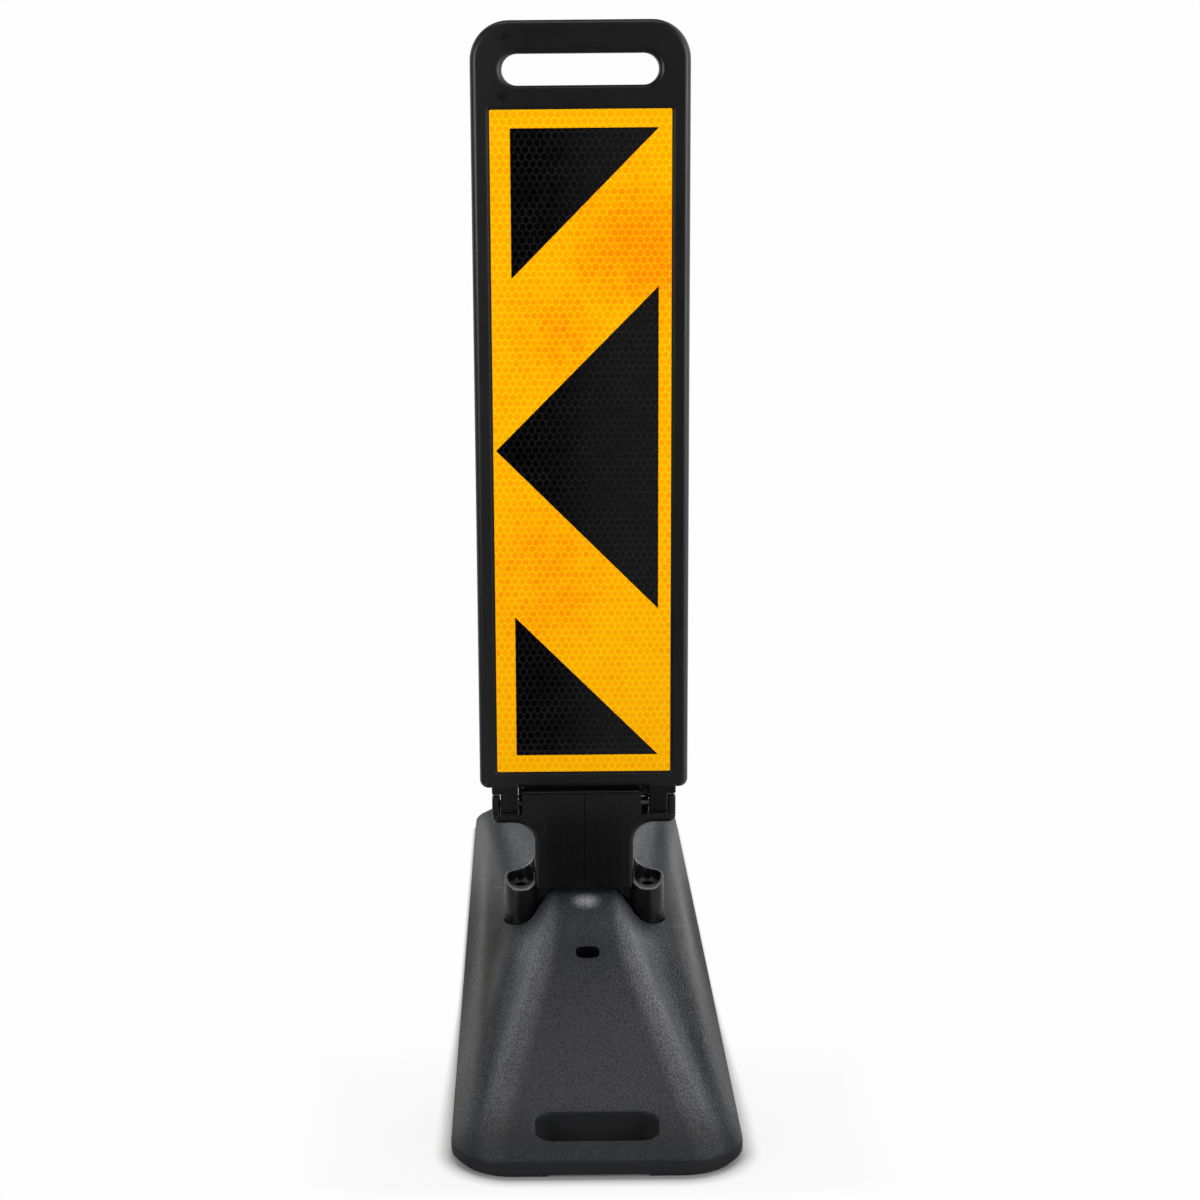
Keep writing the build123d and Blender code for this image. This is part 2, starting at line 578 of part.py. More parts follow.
def panel_solid():
    """Marker panel with a handle slot, a recess on each face and two hinge tabs."""
    half = PANEL_THICKNESS / 2
    middle = (PANEL_TOP + PANEL_BOTTOM) / 2
    outline = Pos(0, middle) * Rectangle(PANEL_WIDTH, PANEL_TOP - PANEL_BOTTOM)
    outline = fillet(outline.vertices().group_by(Axis.Y)[-1], PANEL_TOP_RADIUS)
    outline = fillet(outline.vertices().group_by(Axis.Y)[0], PANEL_BOTTOM_RADIUS)
    handle_middle = PANEL_TOP - HANDLE_TOP_BAR - HANDLE_HEIGHT / 2
    handle = Pos(0, handle_middle) * SlotOverall(HANDLE_LENGTH, HANDLE_HEIGHT)
    body = extrude(Plane.XZ * outline, half, both=True)
    body = fillet(edges_on_faces(body, half), PANEL_EDGE_ROUND)
    body -= extrude(Plane.XZ * handle, PANEL_THICKNESS, both=True)
    reach = (HANDLE_HEIGHT + HANDLE_TOP_BAR) / 2
    near_handle = edges_on_faces(body, half).filter_by(lambda edge: abs(edge.center().X) < HANDLE_LENGTH / 2)
    near_handle = near_handle.filter_by(lambda edge: abs(edge.center().Z - handle_middle) < reach)
    body = fillet(near_handle, HANDLE_EDGE_ROUND)

    recess = RectangleRounded(
        SHEET_WIDTH + 2 * RECESS_GAP, SHEET_HEIGHT + 2 * RECESS_GAP, RECESS_CORNER_RADIUS
    )
    recess = Pos(0, SHEET_BOTTOM + SHEET_HEIGHT / 2) * recess
    recess = extrude(Plane.XZ * recess, RECESS_DEPTH, both=True)
    for side in SIDES:
        body -= Pos(0, side * half) * recess
        body += tab_solid(side)
        body -= tab_bores(side)
    return body


def tab_solid(side):
    """Hinge tab with a round foot, under a block that reaches out over the ear."""
    top = PANEL_LIFT + PANEL_EDGE_ROUND + OVERRUN
    tab = Box(TAB_WIDTH, PANEL_THICKNESS, top + TAB_REACH, align=UPRIGHT)
    tab = fillet(tab.edges().filter_by(Axis.X).group_by(Axis.Z)[0], TAB_FOOT_ROUND)
    for end in (0, -1):
        outline = tab.faces().sort_by(Axis.X)[end].edges()
        tab = fillet(outline - outline.group_by(Axis.Z)[-1], TAB_SIDE_ROUND)
    tab = Pos(side * (TAB_INNER + TAB_OUTER) / 2, 0, HINGE_HEIGHT - TAB_REACH) * tab
    block = Box(HEAD_WIDTH / 2 - TAB_INNER, PANEL_THICKNESS, top - TAB_BLOCK_LIFT, align=UPRIGHT)
    block = fillet(block.edges() - block.edges().group_by(Axis.Z)[-1], TAB_BLOCK_ROUND)
    return tab + Pos(side * (HEAD_WIDTH / 2 + TAB_INNER) / 2, 0, HINGE_HEIGHT + TAB_BLOCK_LIFT) * block


def tab_bores(side):
    """Pin bore through a tab and the blind hole that takes the spring's moving leg."""
    bore = Rot(0, 90, 0) * Cylinder(PIN_RUNNING_GAP + PIN_RADIUS, TAB_WIDTH + OVERRUN)
    bore = Pos(side * (TAB_INNER + TAB_OUTER) / 2, 0, HINGE_HEIGHT) * bore
    depth = LEG_ENGAGEMENT + SPRING_GAP
    hole = Rot(0, 90, 0) * Cylinder(WIRE_RADIUS + SPRING_GAP / 2, 2 * depth)
    return bore + Pos(side * TAB_INNER, 0, HINGE_HEIGHT + LEG_RADIUS) * hole


def sheet_solid():
    """Sheeting that lies in the front recess."""
    back = PANEL_THICKNESS / 2 - RECESS_DEPTH
    outline = RectangleRounded(SHEET_WIDTH, SHEET_HEIGHT, SHEET_CORNER_RADIUS)
    outline = Pos(0, SHEET_BOTTOM + SHEET_HEIGHT / 2) * outline
    return Pos(0, -back) * extrude(Plane.XZ * outline, SHEET_THICKNESS)


def film_solid(*corners):
    """Triangle of black film on the sheeting."""
    back = PANEL_THICKNESS / 2 - RECESS_DEPTH + SHEET_THICKNESS
    outline = make_face(Polyline(*corners, close=True))
    return Pos(0, -back) * extrude(Plane.XZ * outline, FILM_THICKNESS)


def film_solids():
    """Three triangles that leave two slanted amber bands pointing left."""
    right = SHEET_WIDTH / 2 - FILM_RIGHT_MARGIN
    left = FILM_LEFT_MARGIN - SHEET_WIDTH / 2
    leg = right - left
    low = SHEET_BOTTOM + FILM_END_MARGIN
    high = SHEET_BOTTOM + SHEET_HEIGHT - FILM_END_MARGIN
    middle = SHEET_BOTTOM + SHEET_HEIGHT / 2
    reach = right + SHEET_WIDTH / 2 - FILM_TIP_MARGIN
    tip = (right - reach, middle)
    return {
        "chevron_top": film_solid((left, high), (right, high), (left, high - leg)),
        "chevron_middle": film_solid(tip, (right, middle + reach), (right, middle - reach)),
        "chevron_bottom": film_solid((left, low), (right, low), (left, low + leg)),
    }


def hinge_pin_solid():
    """Rod through both ears, both tabs and the bracket's middle block."""
    rod = Cylinder(PIN_RADIUS, HEAD_WIDTH - 2 * PIN_END_RECESS)
    return Pos(0, 0, HINGE_HEIGHT) * Rot(0, 90, 0) * rod


def at_both_bosses(solid):
    """Two copies of a fastener, one on the axis of each boss."""
    return Compound([Pos(side * BOSS_OFFSET) * solid for side in SIDES])


def bolt_solid():
    """Hexagon bolt, head down."""
    hexagon = RegularPolygon(BOLT_HEAD_FLATS / 2, 6, major_radius=False)
    head = Pos(0, 0, HEAD_RECESS) * extrude(hexagon, BOLT_HEAD_HEIGHT)
    return head + post(BOLT_RADIUS, BOLT_HEAD_TOP, INSERT_TOP)


def ring_solid(outer, bottom, top):
    """Ring round a bolt's shank."""
    return post(outer, bottom, top) - post(BOLT_RADIUS, bottom, top)


def backing_plate_solid():
    """Steel strap in the base's underside that both bolts pull on."""
    outline = RectangleRounded(PLATE_LENGTH, PLATE_WIDTH, PLATE_CORNER_RADIUS)
    for side in SIDES:
        outline -= Pos(side * BOSS_OFFSET) * Circle(BOLT_RADIUS + BOLT_HOLE_GAP)
    return Pos(0, 0, PLATE_BOTTOM) * extrude(outline, PLATE_THICKNESS)


def main():
    nodes = {
        "base": base_solid(),
        "backing_plate": backing_plate_solid(),
        "bracket_bolts": at_both_bosses(bolt_solid()),
        "lock_washers": at_both_bosses(ring_solid(WASHER_RADIUS, BOLT_HEAD_TOP, PLATE_BOTTOM)),
        "boss_inserts": at_both_bosses(ring_solid(INSERT_RADIUS, SEAT_HEIGHT, INSERT_TOP)),
        "bracket": bracket_solid(),
        "hinge_pin": hinge_pin_solid(),
        "return_spring_left": spring_solid(-1),
        "return_spring_right": spring_solid(1),
        "panel": panel_solid(),
        "reflective_sheet": sheet_solid(),
    }
    nodes.update(film_solids())
    print("least gap in the right spring", round(least_gap(spring_path(1)), 2))
    os.makedirs("parts", exist_ok=True)
    for name, solid in nodes.items():
        export_step(solid, f"parts/{name}.step")


main()
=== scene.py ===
import json
import math

import bmesh
import bpy
from mathutils import Matrix, Quaternion, Vector

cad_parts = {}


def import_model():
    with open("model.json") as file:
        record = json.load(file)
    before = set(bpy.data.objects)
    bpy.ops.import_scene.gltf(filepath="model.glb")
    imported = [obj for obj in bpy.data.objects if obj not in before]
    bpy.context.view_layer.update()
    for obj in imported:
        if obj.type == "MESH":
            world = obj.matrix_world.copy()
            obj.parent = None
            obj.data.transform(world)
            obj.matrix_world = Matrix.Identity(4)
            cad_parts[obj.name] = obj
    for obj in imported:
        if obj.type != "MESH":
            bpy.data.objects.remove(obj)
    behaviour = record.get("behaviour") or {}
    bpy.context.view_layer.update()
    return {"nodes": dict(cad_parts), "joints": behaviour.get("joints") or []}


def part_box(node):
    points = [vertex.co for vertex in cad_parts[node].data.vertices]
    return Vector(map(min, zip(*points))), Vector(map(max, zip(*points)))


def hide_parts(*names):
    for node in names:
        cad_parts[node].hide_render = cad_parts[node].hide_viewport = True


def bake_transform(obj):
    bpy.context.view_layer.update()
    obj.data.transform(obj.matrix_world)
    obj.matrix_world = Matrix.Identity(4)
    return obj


# Looks of a hinged road marker: a chevron panel on a neck bracket over a long rubber base.
# Units are metres in the part's frame: X across the base, Y away from the sheeting's face, Z up.

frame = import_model()
nodes = frame["nodes"]
SIDES = {"left": -1, "right": 1}
MILLIMETRE = 0.001


def grey(level, blue=0.0):
    """Neutral colour with a little blue added."""
    return (level, level, level + blue, 1.0)


# Places read from the frame
HINGE_HEIGHT = frame["joints"][0]["pos_m"][2]
SHEET_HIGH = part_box("reflective_sheet")[1]
BASE_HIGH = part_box("base")[1]

# Return springs, wound as the solids are
WIRE_RADIUS = 1.5 * MILLIMETRE
COIL_RADIUS = 5.0 * MILLIMETRE
COIL_PITCH = 3.6 * MILLIMETRE
COIL_TURNS = 4.25
FIXED_LEG_LENGTH = 8.0 * MILLIMETRE
LEG_BEND_RADIUS = 3.2 * MILLIMETRE
POINTS_PER_TURN = 48
BEND_POINTS = 10
WIRE_SIDES = 16

# Camera: a long lens in front of the sheeting, a little to its left, looking slightly down
IMAGE_SIZE = 1200
FOCAL_PIXELS = 2241.6
SENSOR_WIDTH_MM = 36.0
CAMERA_PLACE = (-0.0440, -2.0094, 0.7694)
CAMERA_PITCH = 11.825
CAMERA_ROLL = -0.527
CAMERA_SHIFT_X = 0.0544

# Lamps: name, place, point they look at, size and power
LAMPS = (
    ("front_left", (-1.8, -2.0, 0.95), (0.0, 0.0, 0.40), (1.2, 1.2), 34.5),
    ("front_right", (1.9, -1.8, 0.90), (0.0, 0.0, 0.40), (1.2, 1.2), 32.5),
    ("above", (0.0, -0.1, 2.3), (0.0, -0.1, 0.0), (1.2, 0.6), 20.0),
)

# In the names below, a STEP is a start and an end, then the values at both where these are not 0 and 1.
# A NOISE is a scale, a detail and a roughness. TONES are the two colours that a pattern runs between.

# Studio around the object, by direction: pale walls, brighter screens, a ceiling, a dim front on the right
BEHIND_STEP = (-0.35, 0.25)
RIGHT_WALL_STEP = (0.08, 0.45, 0.0, 0.78)
LEFT_WALL_STEP = (-0.08, -0.45, 0.0, 0.68)
BACK_WALL_STEP = (0.0, 0.6, 0.0, 0.34)
BACK_WALL_TOP_STEP = (0.85, 0.55)
SCREENS_FOOT_STEP = (0.05, 0.25)
SCREENS_TOP_STEP = (0.75, 0.5)
RIGHT_SCREEN_STEP = (0.04, 0.28, 0.0, 0.85)
LEFT_SCREEN_STEP = (-0.04, -0.28, 0.0, 0.40)
CEILING_STEP = (0.5, 0.95, 0.0, 0.12)
FRONT_STEP = (0.2, -0.2)
FRONT_RIGHT_STEP = (0.011, 0.028, 0.0, 0.25)
BACKGROUND_LEVEL = 0.99

# Floor just under the base; at the near end the shadow reaches further and the white is a little darker
FLOOR_RADIUS = 4.0
FLOOR_SIDES = 96
FLOOR_DROP = 0.2 * MILLIMETRE
FLOOR_SHADE = grey(0.55)
FLOOR_WHITE = grey(0.99)
BASE_CORNER_RADIUS = 48.0 * MILLIMETRE
SHADOW_REACH_STEP = (-420.0 * MILLIMETRE, -50.0 * MILLIMETRE, 16.0 * MILLIMETRE, 5.0 * MILLIMETRE)
NEAR_END_STEP = (-460.0 * MILLIMETRE, -50.0 * MILLIMETRE)
NEAR_END_STRETCH = 4.0
NEAR_END_REACH_STEP = (20.0 * MILLIMETRE, 180.0 * MILLIMETRE)
NEAR_END_LEVEL = 0.86
OPEN_FLOOR_STEP = (0.1, 0.3)

# Moulded plastic: grey level, roughness and edge rounding of each piece, then their common skin and scuffs
BRACKET_LOOK = (0.0030, 0.27, 0.7 * MILLIMETRE)
PANEL_LOOK = (0.0048, 0.34, 2.0 * MILLIMETRE)
PLASTIC_IOR = 1.48
EDGE_SAMPLES = 8
PLASTIC_CLOUD_NOISE = (22.0, 4.0, 0.6)
PLASTIC_CLOUD_SPREAD = 0.25
PLASTIC_CLOUD_BLUE = 0.08
PLASTIC_CLOUD_ROUGHNESS = 0.16
SKIN_NOISE = (2600.0, 2.0, 0.6)
SKIN_DEPTH = 0.010 * MILLIMETRE
SCUFF_STRETCH = (900.0, 900.0, 35.0)
SCUFF_NOISE = (1.0, 2.0, 0.5)
SCUFF_STEP = (0.70, 0.80)
SCUFF_CLOUD_STEP = (0.50, 0.70)
SCUFF_STRENGTH = 0.35
SCUFF_ROUGHNESS = 0.12
SCUFF_TONE = grey(0.03)

# Bracket: sink lines over the ribs behind its neck, the moulding seam, dull neck and head.
# The ribs are counted from a lead on the bracket's left.
RIB_PITCH = 11.0 * MILLIMETRE
RIB_LEAD = 10 * RIB_PITCH
RIB_REACH = 37.0 * MILLIMETRE
SINK_WIDTH = 1.6 * MILLIMETRE
SINK_DEPTH = 0.06 * MILLIMETRE
SINK_DULLNESS = 0.15
SEAM_PLACE = 0.5 * MILLIMETRE
SEAM_STEP = (0.18 * MILLIMETRE, 0.9 * MILLIMETRE, 0.8, 0.0)
NECK_HALF_WIDTH = 33.0 * MILLIMETRE
NECK_DULLNESS = 0.3
NECK_TOP_STEP = (HINGE_HEIGHT, HINGE_HEIGHT - 20.0 * MILLIMETRE)
HEAD_STEP = (HINGE_HEIGHT + 9.0 * MILLIMETRE, HINGE_HEIGHT + 12.0 * MILLIMETRE, 0.0, 0.6)
BRACKET_GLOSS = 0.46

# Boss cups of the bracket: painted light on their floors and painted highlights on their rims; a facing is 1
# where a surface looks up
CUP_FLOOR = 76.0 * MILLIMETRE
CUP_FLOOR_REACH = 1.0 * MILLIMETRE
CUP_FLOOR_FACING_STEP = (0.90, 0.99)
CUP_RADIUS = 12.3 * MILLIMETRE
CUP_FLOOR_PAINTED_LIGHT_TONE = grey(0.06)
BOSS_PLACE = (59.5 * MILLIMETRE, 0.0)
BOSS_RADIUS = 15.3 * MILLIMETRE
RIM_FACING_STEP = (0.25, 0.55)
RIM_TOP_STEP = (CUP_FLOOR + 20.0 * MILLIMETRE, CUP_FLOOR + 30.0 * MILLIMETRE, 1.0, 0.0)
RIM_HIGHLIGHT_TONE = grey(0.085)

# Panel: painted reflection on the left rail, smudges beside the handle, dull tabs and upper edges, painted
# highlights on right-hand edges
LEFT_RAIL_STEP = (-45.0 * MILLIMETRE, -90.0 * MILLIMETRE)
LEFT_RAIL_STRENGTH = 0.6
LEFT_RAIL_REFLECTION_TONE = grey(0.013, 0.0008)
SMUDGES = ((-65.2 * MILLIMETRE, 849.0 * MILLIMETRE), (-68.4 * MILLIMETRE, 798.5 * MILLIMETRE))
SMUDGE_STEP = (1.2 * MILLIMETRE, 6.0 * MILLIMETRE, 0.85, 0.0)
SMUDGE_TONE = grey(0.0005)
TAB_GLOSS_STEP = (HINGE_HEIGHT + 16.0 * MILLIMETRE, HINGE_HEIGHT + 20.0 * MILLIMETRE, 0.16, 0.36)
UPPER_EDGE_STEP = (0.15, 0.6, 1.0, 0.25)
EDGE_HIGHLIGHT_FRONT_STEP = (0.2, 0.5)
EDGE_HIGHLIGHT_SIDE_STEP = (0.85, 0.97, 1.0, 0.0)
EDGE_HIGHLIGHT_TONE = grey(0.045, 0.002)

# Rubber of the base: leather grain, drawn out along the base, and cloudy tones
RUBBER_IOR = 1.5
GRAIN_STRETCH = (1.0, 0.36, 1.0)
GRAIN_BEND_SCALE = 820.0
GRAIN_BEND_REACH = 1.0 * MILLIMETRE
GRAIN_NOISE = (800.0, 0.0, 0.5)
GRAIN_STEP = (0.36, 0.64)
GRAIN_DEPTH = 0.28 * MILLIMETRE
GRAIN_STRENGTH = 0.75
# The paler second grain tone shows only under the ridges' painted sheen
GRAIN_TONES = ((0.0275, 0.0308, 0.0380, 1.0), (0.098, 0.102, 0.112, 1.0))
FINE_GRAIN_NOISE = (1500.0, 2.0, 0.6)
FINE_GRAIN_SHARE = 0.3
RUBBER_CLOUD_NOISE = (14.0, 4.0, 0.6)
RUBBER_TONES = ((0.0088, 0.0105, 0.0142, 1.0), (0.0122, 0.0143, 0.0188, 1.0))
RUBBER_ROUGHNESS = 0.50
GRAIN_SMOOTHING = 0.12
RAMP_GLOSS_STEP = (100.0 * MILLIMETRE, 280.0 * MILLIMETRE, 0.17, 0.20)

# Painted sheen along the ridges of the hump, from the crest towards the corners; the right one is brighter
# and narrower
RIDGE_HALF_WIDTH = 20.8 * MILLIMETRE
RIDGE_SPREAD = 0.138
RIDGE_LEAST = 34.0 * MILLIMETRE
RIDGE_BLEND = 14.0 * MILLIMETRE
RIDGE_INNER_BAND = 16.0 * MILLIMETRE
RIDGE_OUTER_BAND_STEP = (-20.0 * MILLIMETRE, 20.0 * MILLIMETRE, 23.0 * MILLIMETRE, 17.0 * MILLIMETRE)
RIDGE_OUTER_CREST_STEP = (80.0 * MILLIMETRE, 200.0 * MILLIMETRE, 0.6, 1.0)
RIDGE_BAND_STEP = (0.1, 1.0, 1.0, 0.0)
RIDGE_END_STEP = (80.0 * MILLIMETRE, 400.0 * MILLIMETRE, 1.0, 0.55)
RIDGE_SIDE_STEP = (-50.0 * MILLIMETRE, 50.0 * MILLIMETRE, 0.84, 1.12)
RIDGE_FAR_STEP = (0.0, 80.0 * MILLIMETRE, 1.0, 0.7)
HUMP_TOP_STEP = (60.0 * MILLIMETRE, 130.0 * MILLIMETRE, 0.3, 0.0)
RIDGE_SHEEN_STRENGTH = 0.5
RIDGE_SHEEN_TONE = (0.044, 0.047, 0.053, 1.0)
RIDGE_GLOSS = 0.26

# Foot of the hump, the smooth streaky flanges outside it with painted light on parts of them, and painted
# shade in the valleys just inside it
FOOT_HALF_WIDTH = 65.0 * MILLIMETRE
FOOT_SPREAD = 0.092
FOOT_SIDE_STEP = (0.0, 20.0 * MILLIMETRE, 0.0, 8.0 * MILLIMETRE)
FOOT_BLEND = 5.0 * MILLIMETRE
FLANGE_SMOOTHNESS = 0.7
FLANGE_TONES = ((0.010, 0.010, 0.0098, 1.0), (0.024, 0.024, 0.0235, 1.0))
FLANGE_GLOSS_STEP = (-400.0 * MILLIMETRE, -260.0 * MILLIMETRE, 0.14, 0.28)
FLANGE_GLOSS_SIDE_STEP = (0.0, 20.0 * MILLIMETRE, 1.0, 0.7)
STREAK_STRETCH = (70.0, 7.0, 70.0)
STREAK_NOISE = (1.0, 3.0, 0.6)
STREAK_ROUGHNESS = 0.10
PAINTED_LIGHT_FLANGE_TONES = (grey(0.048), grey(0.074))
FLANGE_LIGHT_RIGHT_STEP = (78.0 * MILLIMETRE, 90.0 * MILLIMETRE)
FLANGE_LIGHT_RIGHT_LENGTH_STEP = (-260.0 * MILLIMETRE, -50.0 * MILLIMETRE, 0.12, 1.0)
FLANGE_LIGHT_LEFT_STEP = (2.0 * MILLIMETRE, 14.0 * MILLIMETRE, 0.7, 0.0)
FLANGE_LIGHT_LEFT_LENGTH_STEP = (-240.0 * MILLIMETRE, -140.0 * MILLIMETRE)
FLANGE_LIGHT_FAR_STEP = (0.0, 200.0 * MILLIMETRE, 0.0, 0.9)
LEFT_SIDE_STEP = (0.0, -20.0 * MILLIMETRE)
VALLEY_INSET = 11.0 * MILLIMETRE
VALLEY_LENGTH_STEP = (120.0 * MILLIMETRE, 340.0 * MILLIMETRE)
VALLEY_SHADE_STRENGTH = 0.7
VALLEY_DULLNESS = 0.45
VALLEY_SHADE_TONE = (0.006, 0.0068, 0.0082, 1.0)

# Painted shade on the bare walls and end bars of the base and in its anchor holes; a painted highlight on the
# crest, broken by its seam; a gate mark
WALL_FACING_STEP = (0.75, 0.45)
WALL_DULLNESS = 0.8
WALL_SHADE_TONE = (0.0175, 0.0178, 0.0190, 1.0)
END_BAR_SHADE_STEP = (365.0 * MILLIMETRE, 440.0 * MILLIMETRE, 0.0, 0.7)
ANCHOR_HOLE = (0.0, 130.5 * MILLIMETRE)
ANCHOR_HOLE_REACH = 13.0 * MILLIMETRE
ANCHOR_HOLE_SHADE_TONE = grey(0.003)
CREST_SPOT = (1.0 * MILLIMETRE, -28.0 * MILLIMETRE)
CREST_HALF_SIZE = (13.0 * MILLIMETRE, 19.0 * MILLIMETRE)
CREST_STEP = (0.0, 1.3, 1.0, 0.0)
CREST_SEAM_STEP = (0.2 * MILLIMETRE, 0.8 * MILLIMETRE, 0.45, 1.0)
CREST_GRAIN_SHARE = 0.5
CREST_HIGHLIGHT_TONE = grey(0.42, 0.02)
GATE_MARK = (-83.3 * MILLIMETRE, 101.8 * MILLIMETRE)
GATE_RADIUS = 2.2 * MILLIMETRE
GATE_RING_STEP = (0.3 * MILLIMETRE, 1.2 * MILLIMETRE, 1.0, 0.0)
GATE_DEPTH = 0.3 * MILLIMETRE
GATE_STRENGTH = 0.8
GATE_TONE = grey(0.12)

# Honeycomb of the sheeting: slightly tall, wobbly cells with rounded corners
CELL_PITCH = 6.5 * MILLIMETRE
CELL_STRETCH = 1.07
CELL_WOBBLE = 1.7 * MILLIMETRE
CELL_WOBBLE_SCALE = 150.0
CELL_ROUNDING = 0.95
CELL_CORNER_BLEND = 0.6 * MILLIMETRE
CELL_BORDER_STEP = (0.395 * CELL_PITCH, 0.465 * CELL_PITCH)
SLANTED_SIDE = (0.5, math.sqrt(3) / 2)

# Amber sheeting: deep colour in the cells, pale borders, and warmer patches that turn both to orange
DEEP_TONES = ((1.0, 0.36, 0.0, 1.0), (1.0, 0.195, 0.0, 1.0))
PALE_TONES = ((1.0, 0.59, 0.0, 1.0), (1.0, 0.43, 0.0, 1.0))
WARM_NOISE = (45.0, 3.0, 0.6)
WARM_NOISE_RANGE = (0.9, -0.18)
WARM_CELL_RANGE = (0.5, -0.25)
WARM_STEP = (0.1, 1.2)
WARM_TOP_STEP = (SHEET_HIGH.z - 50.0 * MILLIMETRE, SHEET_HIGH.z - 10.0 * MILLIMETRE, 0.0, -0.5)
MOTTLE_NOISE = (420.0, 3.0, 0.6)
MOTTLE_STRENGTH = 0.45
SHEET_ROUGHNESS = 0.30
SHEET_BORDER_ROUGHNESS = 0.15
SHEET_BORDER_DEPTH = 0.05 * MILLIMETRE
SHEET_GLOSS = 0.04

# Warmer patches of the sheeting: place across and up, half width and half height, strength
WARM_PATCHES = (
    ((52.0 * MILLIMETRE, 670.0 * MILLIMETRE), (90.0 * MILLIMETRE, 80.0 * MILLIMETRE), 0.85),
    ((-20.0 * MILLIMETRE, 592.0 * MILLIMETRE), (60.0 * MILLIMETRE, 70.0 * MILLIMETRE), 0.45),
    ((-32.0 * MILLIMETRE, 372.0 * MILLIMETRE), (80.0 * MILLIMETRE, 110.0 * MILLIMETRE), 0.46),
)

# Black film of the chevrons
FILM_IOR = 1.45
FILM_DUST_NOISE = (60.0, 4.0, 0.6)
FILM_DUST_STEP = (0.3, 0.7, 0.4, 1.0)
FILM_CELL_TONES = (grey(0.0003), grey(0.0012, 0.0002))
FILM_BORDER_TONE = grey(0.0098, 0.0014)
FILM_BORDER_DEPTH = 0.010 * MILLIMETRE
FILM_ROUGHNESS = 0.05
FILM_DUST_ROUGHNESS = 0.06

# Metals: colour, tarnish, roughness, and how closely the drawing marks lie along each axis
METALS = {
    "plated_steel": (grey(0.58), (0.40, 0.37, 0.30, 1.0), 0.28, (900.0, 900.0, 900.0)),
    "insert_brass": ((0.72, 0.53, 0.25, 1.0), (0.35, 0.24, 0.10, 1.0), 0.25, (300.0, 300.0, 2500.0)),
    "pin_steel": (grey(0.20), (0.09, 0.07, 0.05, 1.0), 0.30, (200.0, 2500.0, 2500.0)),
    "spring_steel": (grey(0.17), (0.08, 0.06, 0.05, 1.0), 0.30, (1500.0, 1500.0, 1500.0)),
}
MARK_NOISE = (1.0, 3.0, 0.6)
MARK_DEPTH = 0.03 * MILLIMETRE
TARNISH_NOISE = (90.0, 4.0, 0.6)
TARNISH_STEP = (0.52, 0.72, 0.0, 0.7)
TARNISH_ROUGHNESS = 0.2

# Half-way value of three coordinates, and the detail of a noise that shifts points
HALF_WAY = (0.5, 0.5, 0.5)
OFFSET_DETAIL = 1.0

# Sockets of a mixing node for each kind of value: first, second and result
MIX_SOCKETS = {"FLOAT": (2, 3, 0), "VECTOR": (4, 5, 1), "RGBA": (6, 7, 2)}


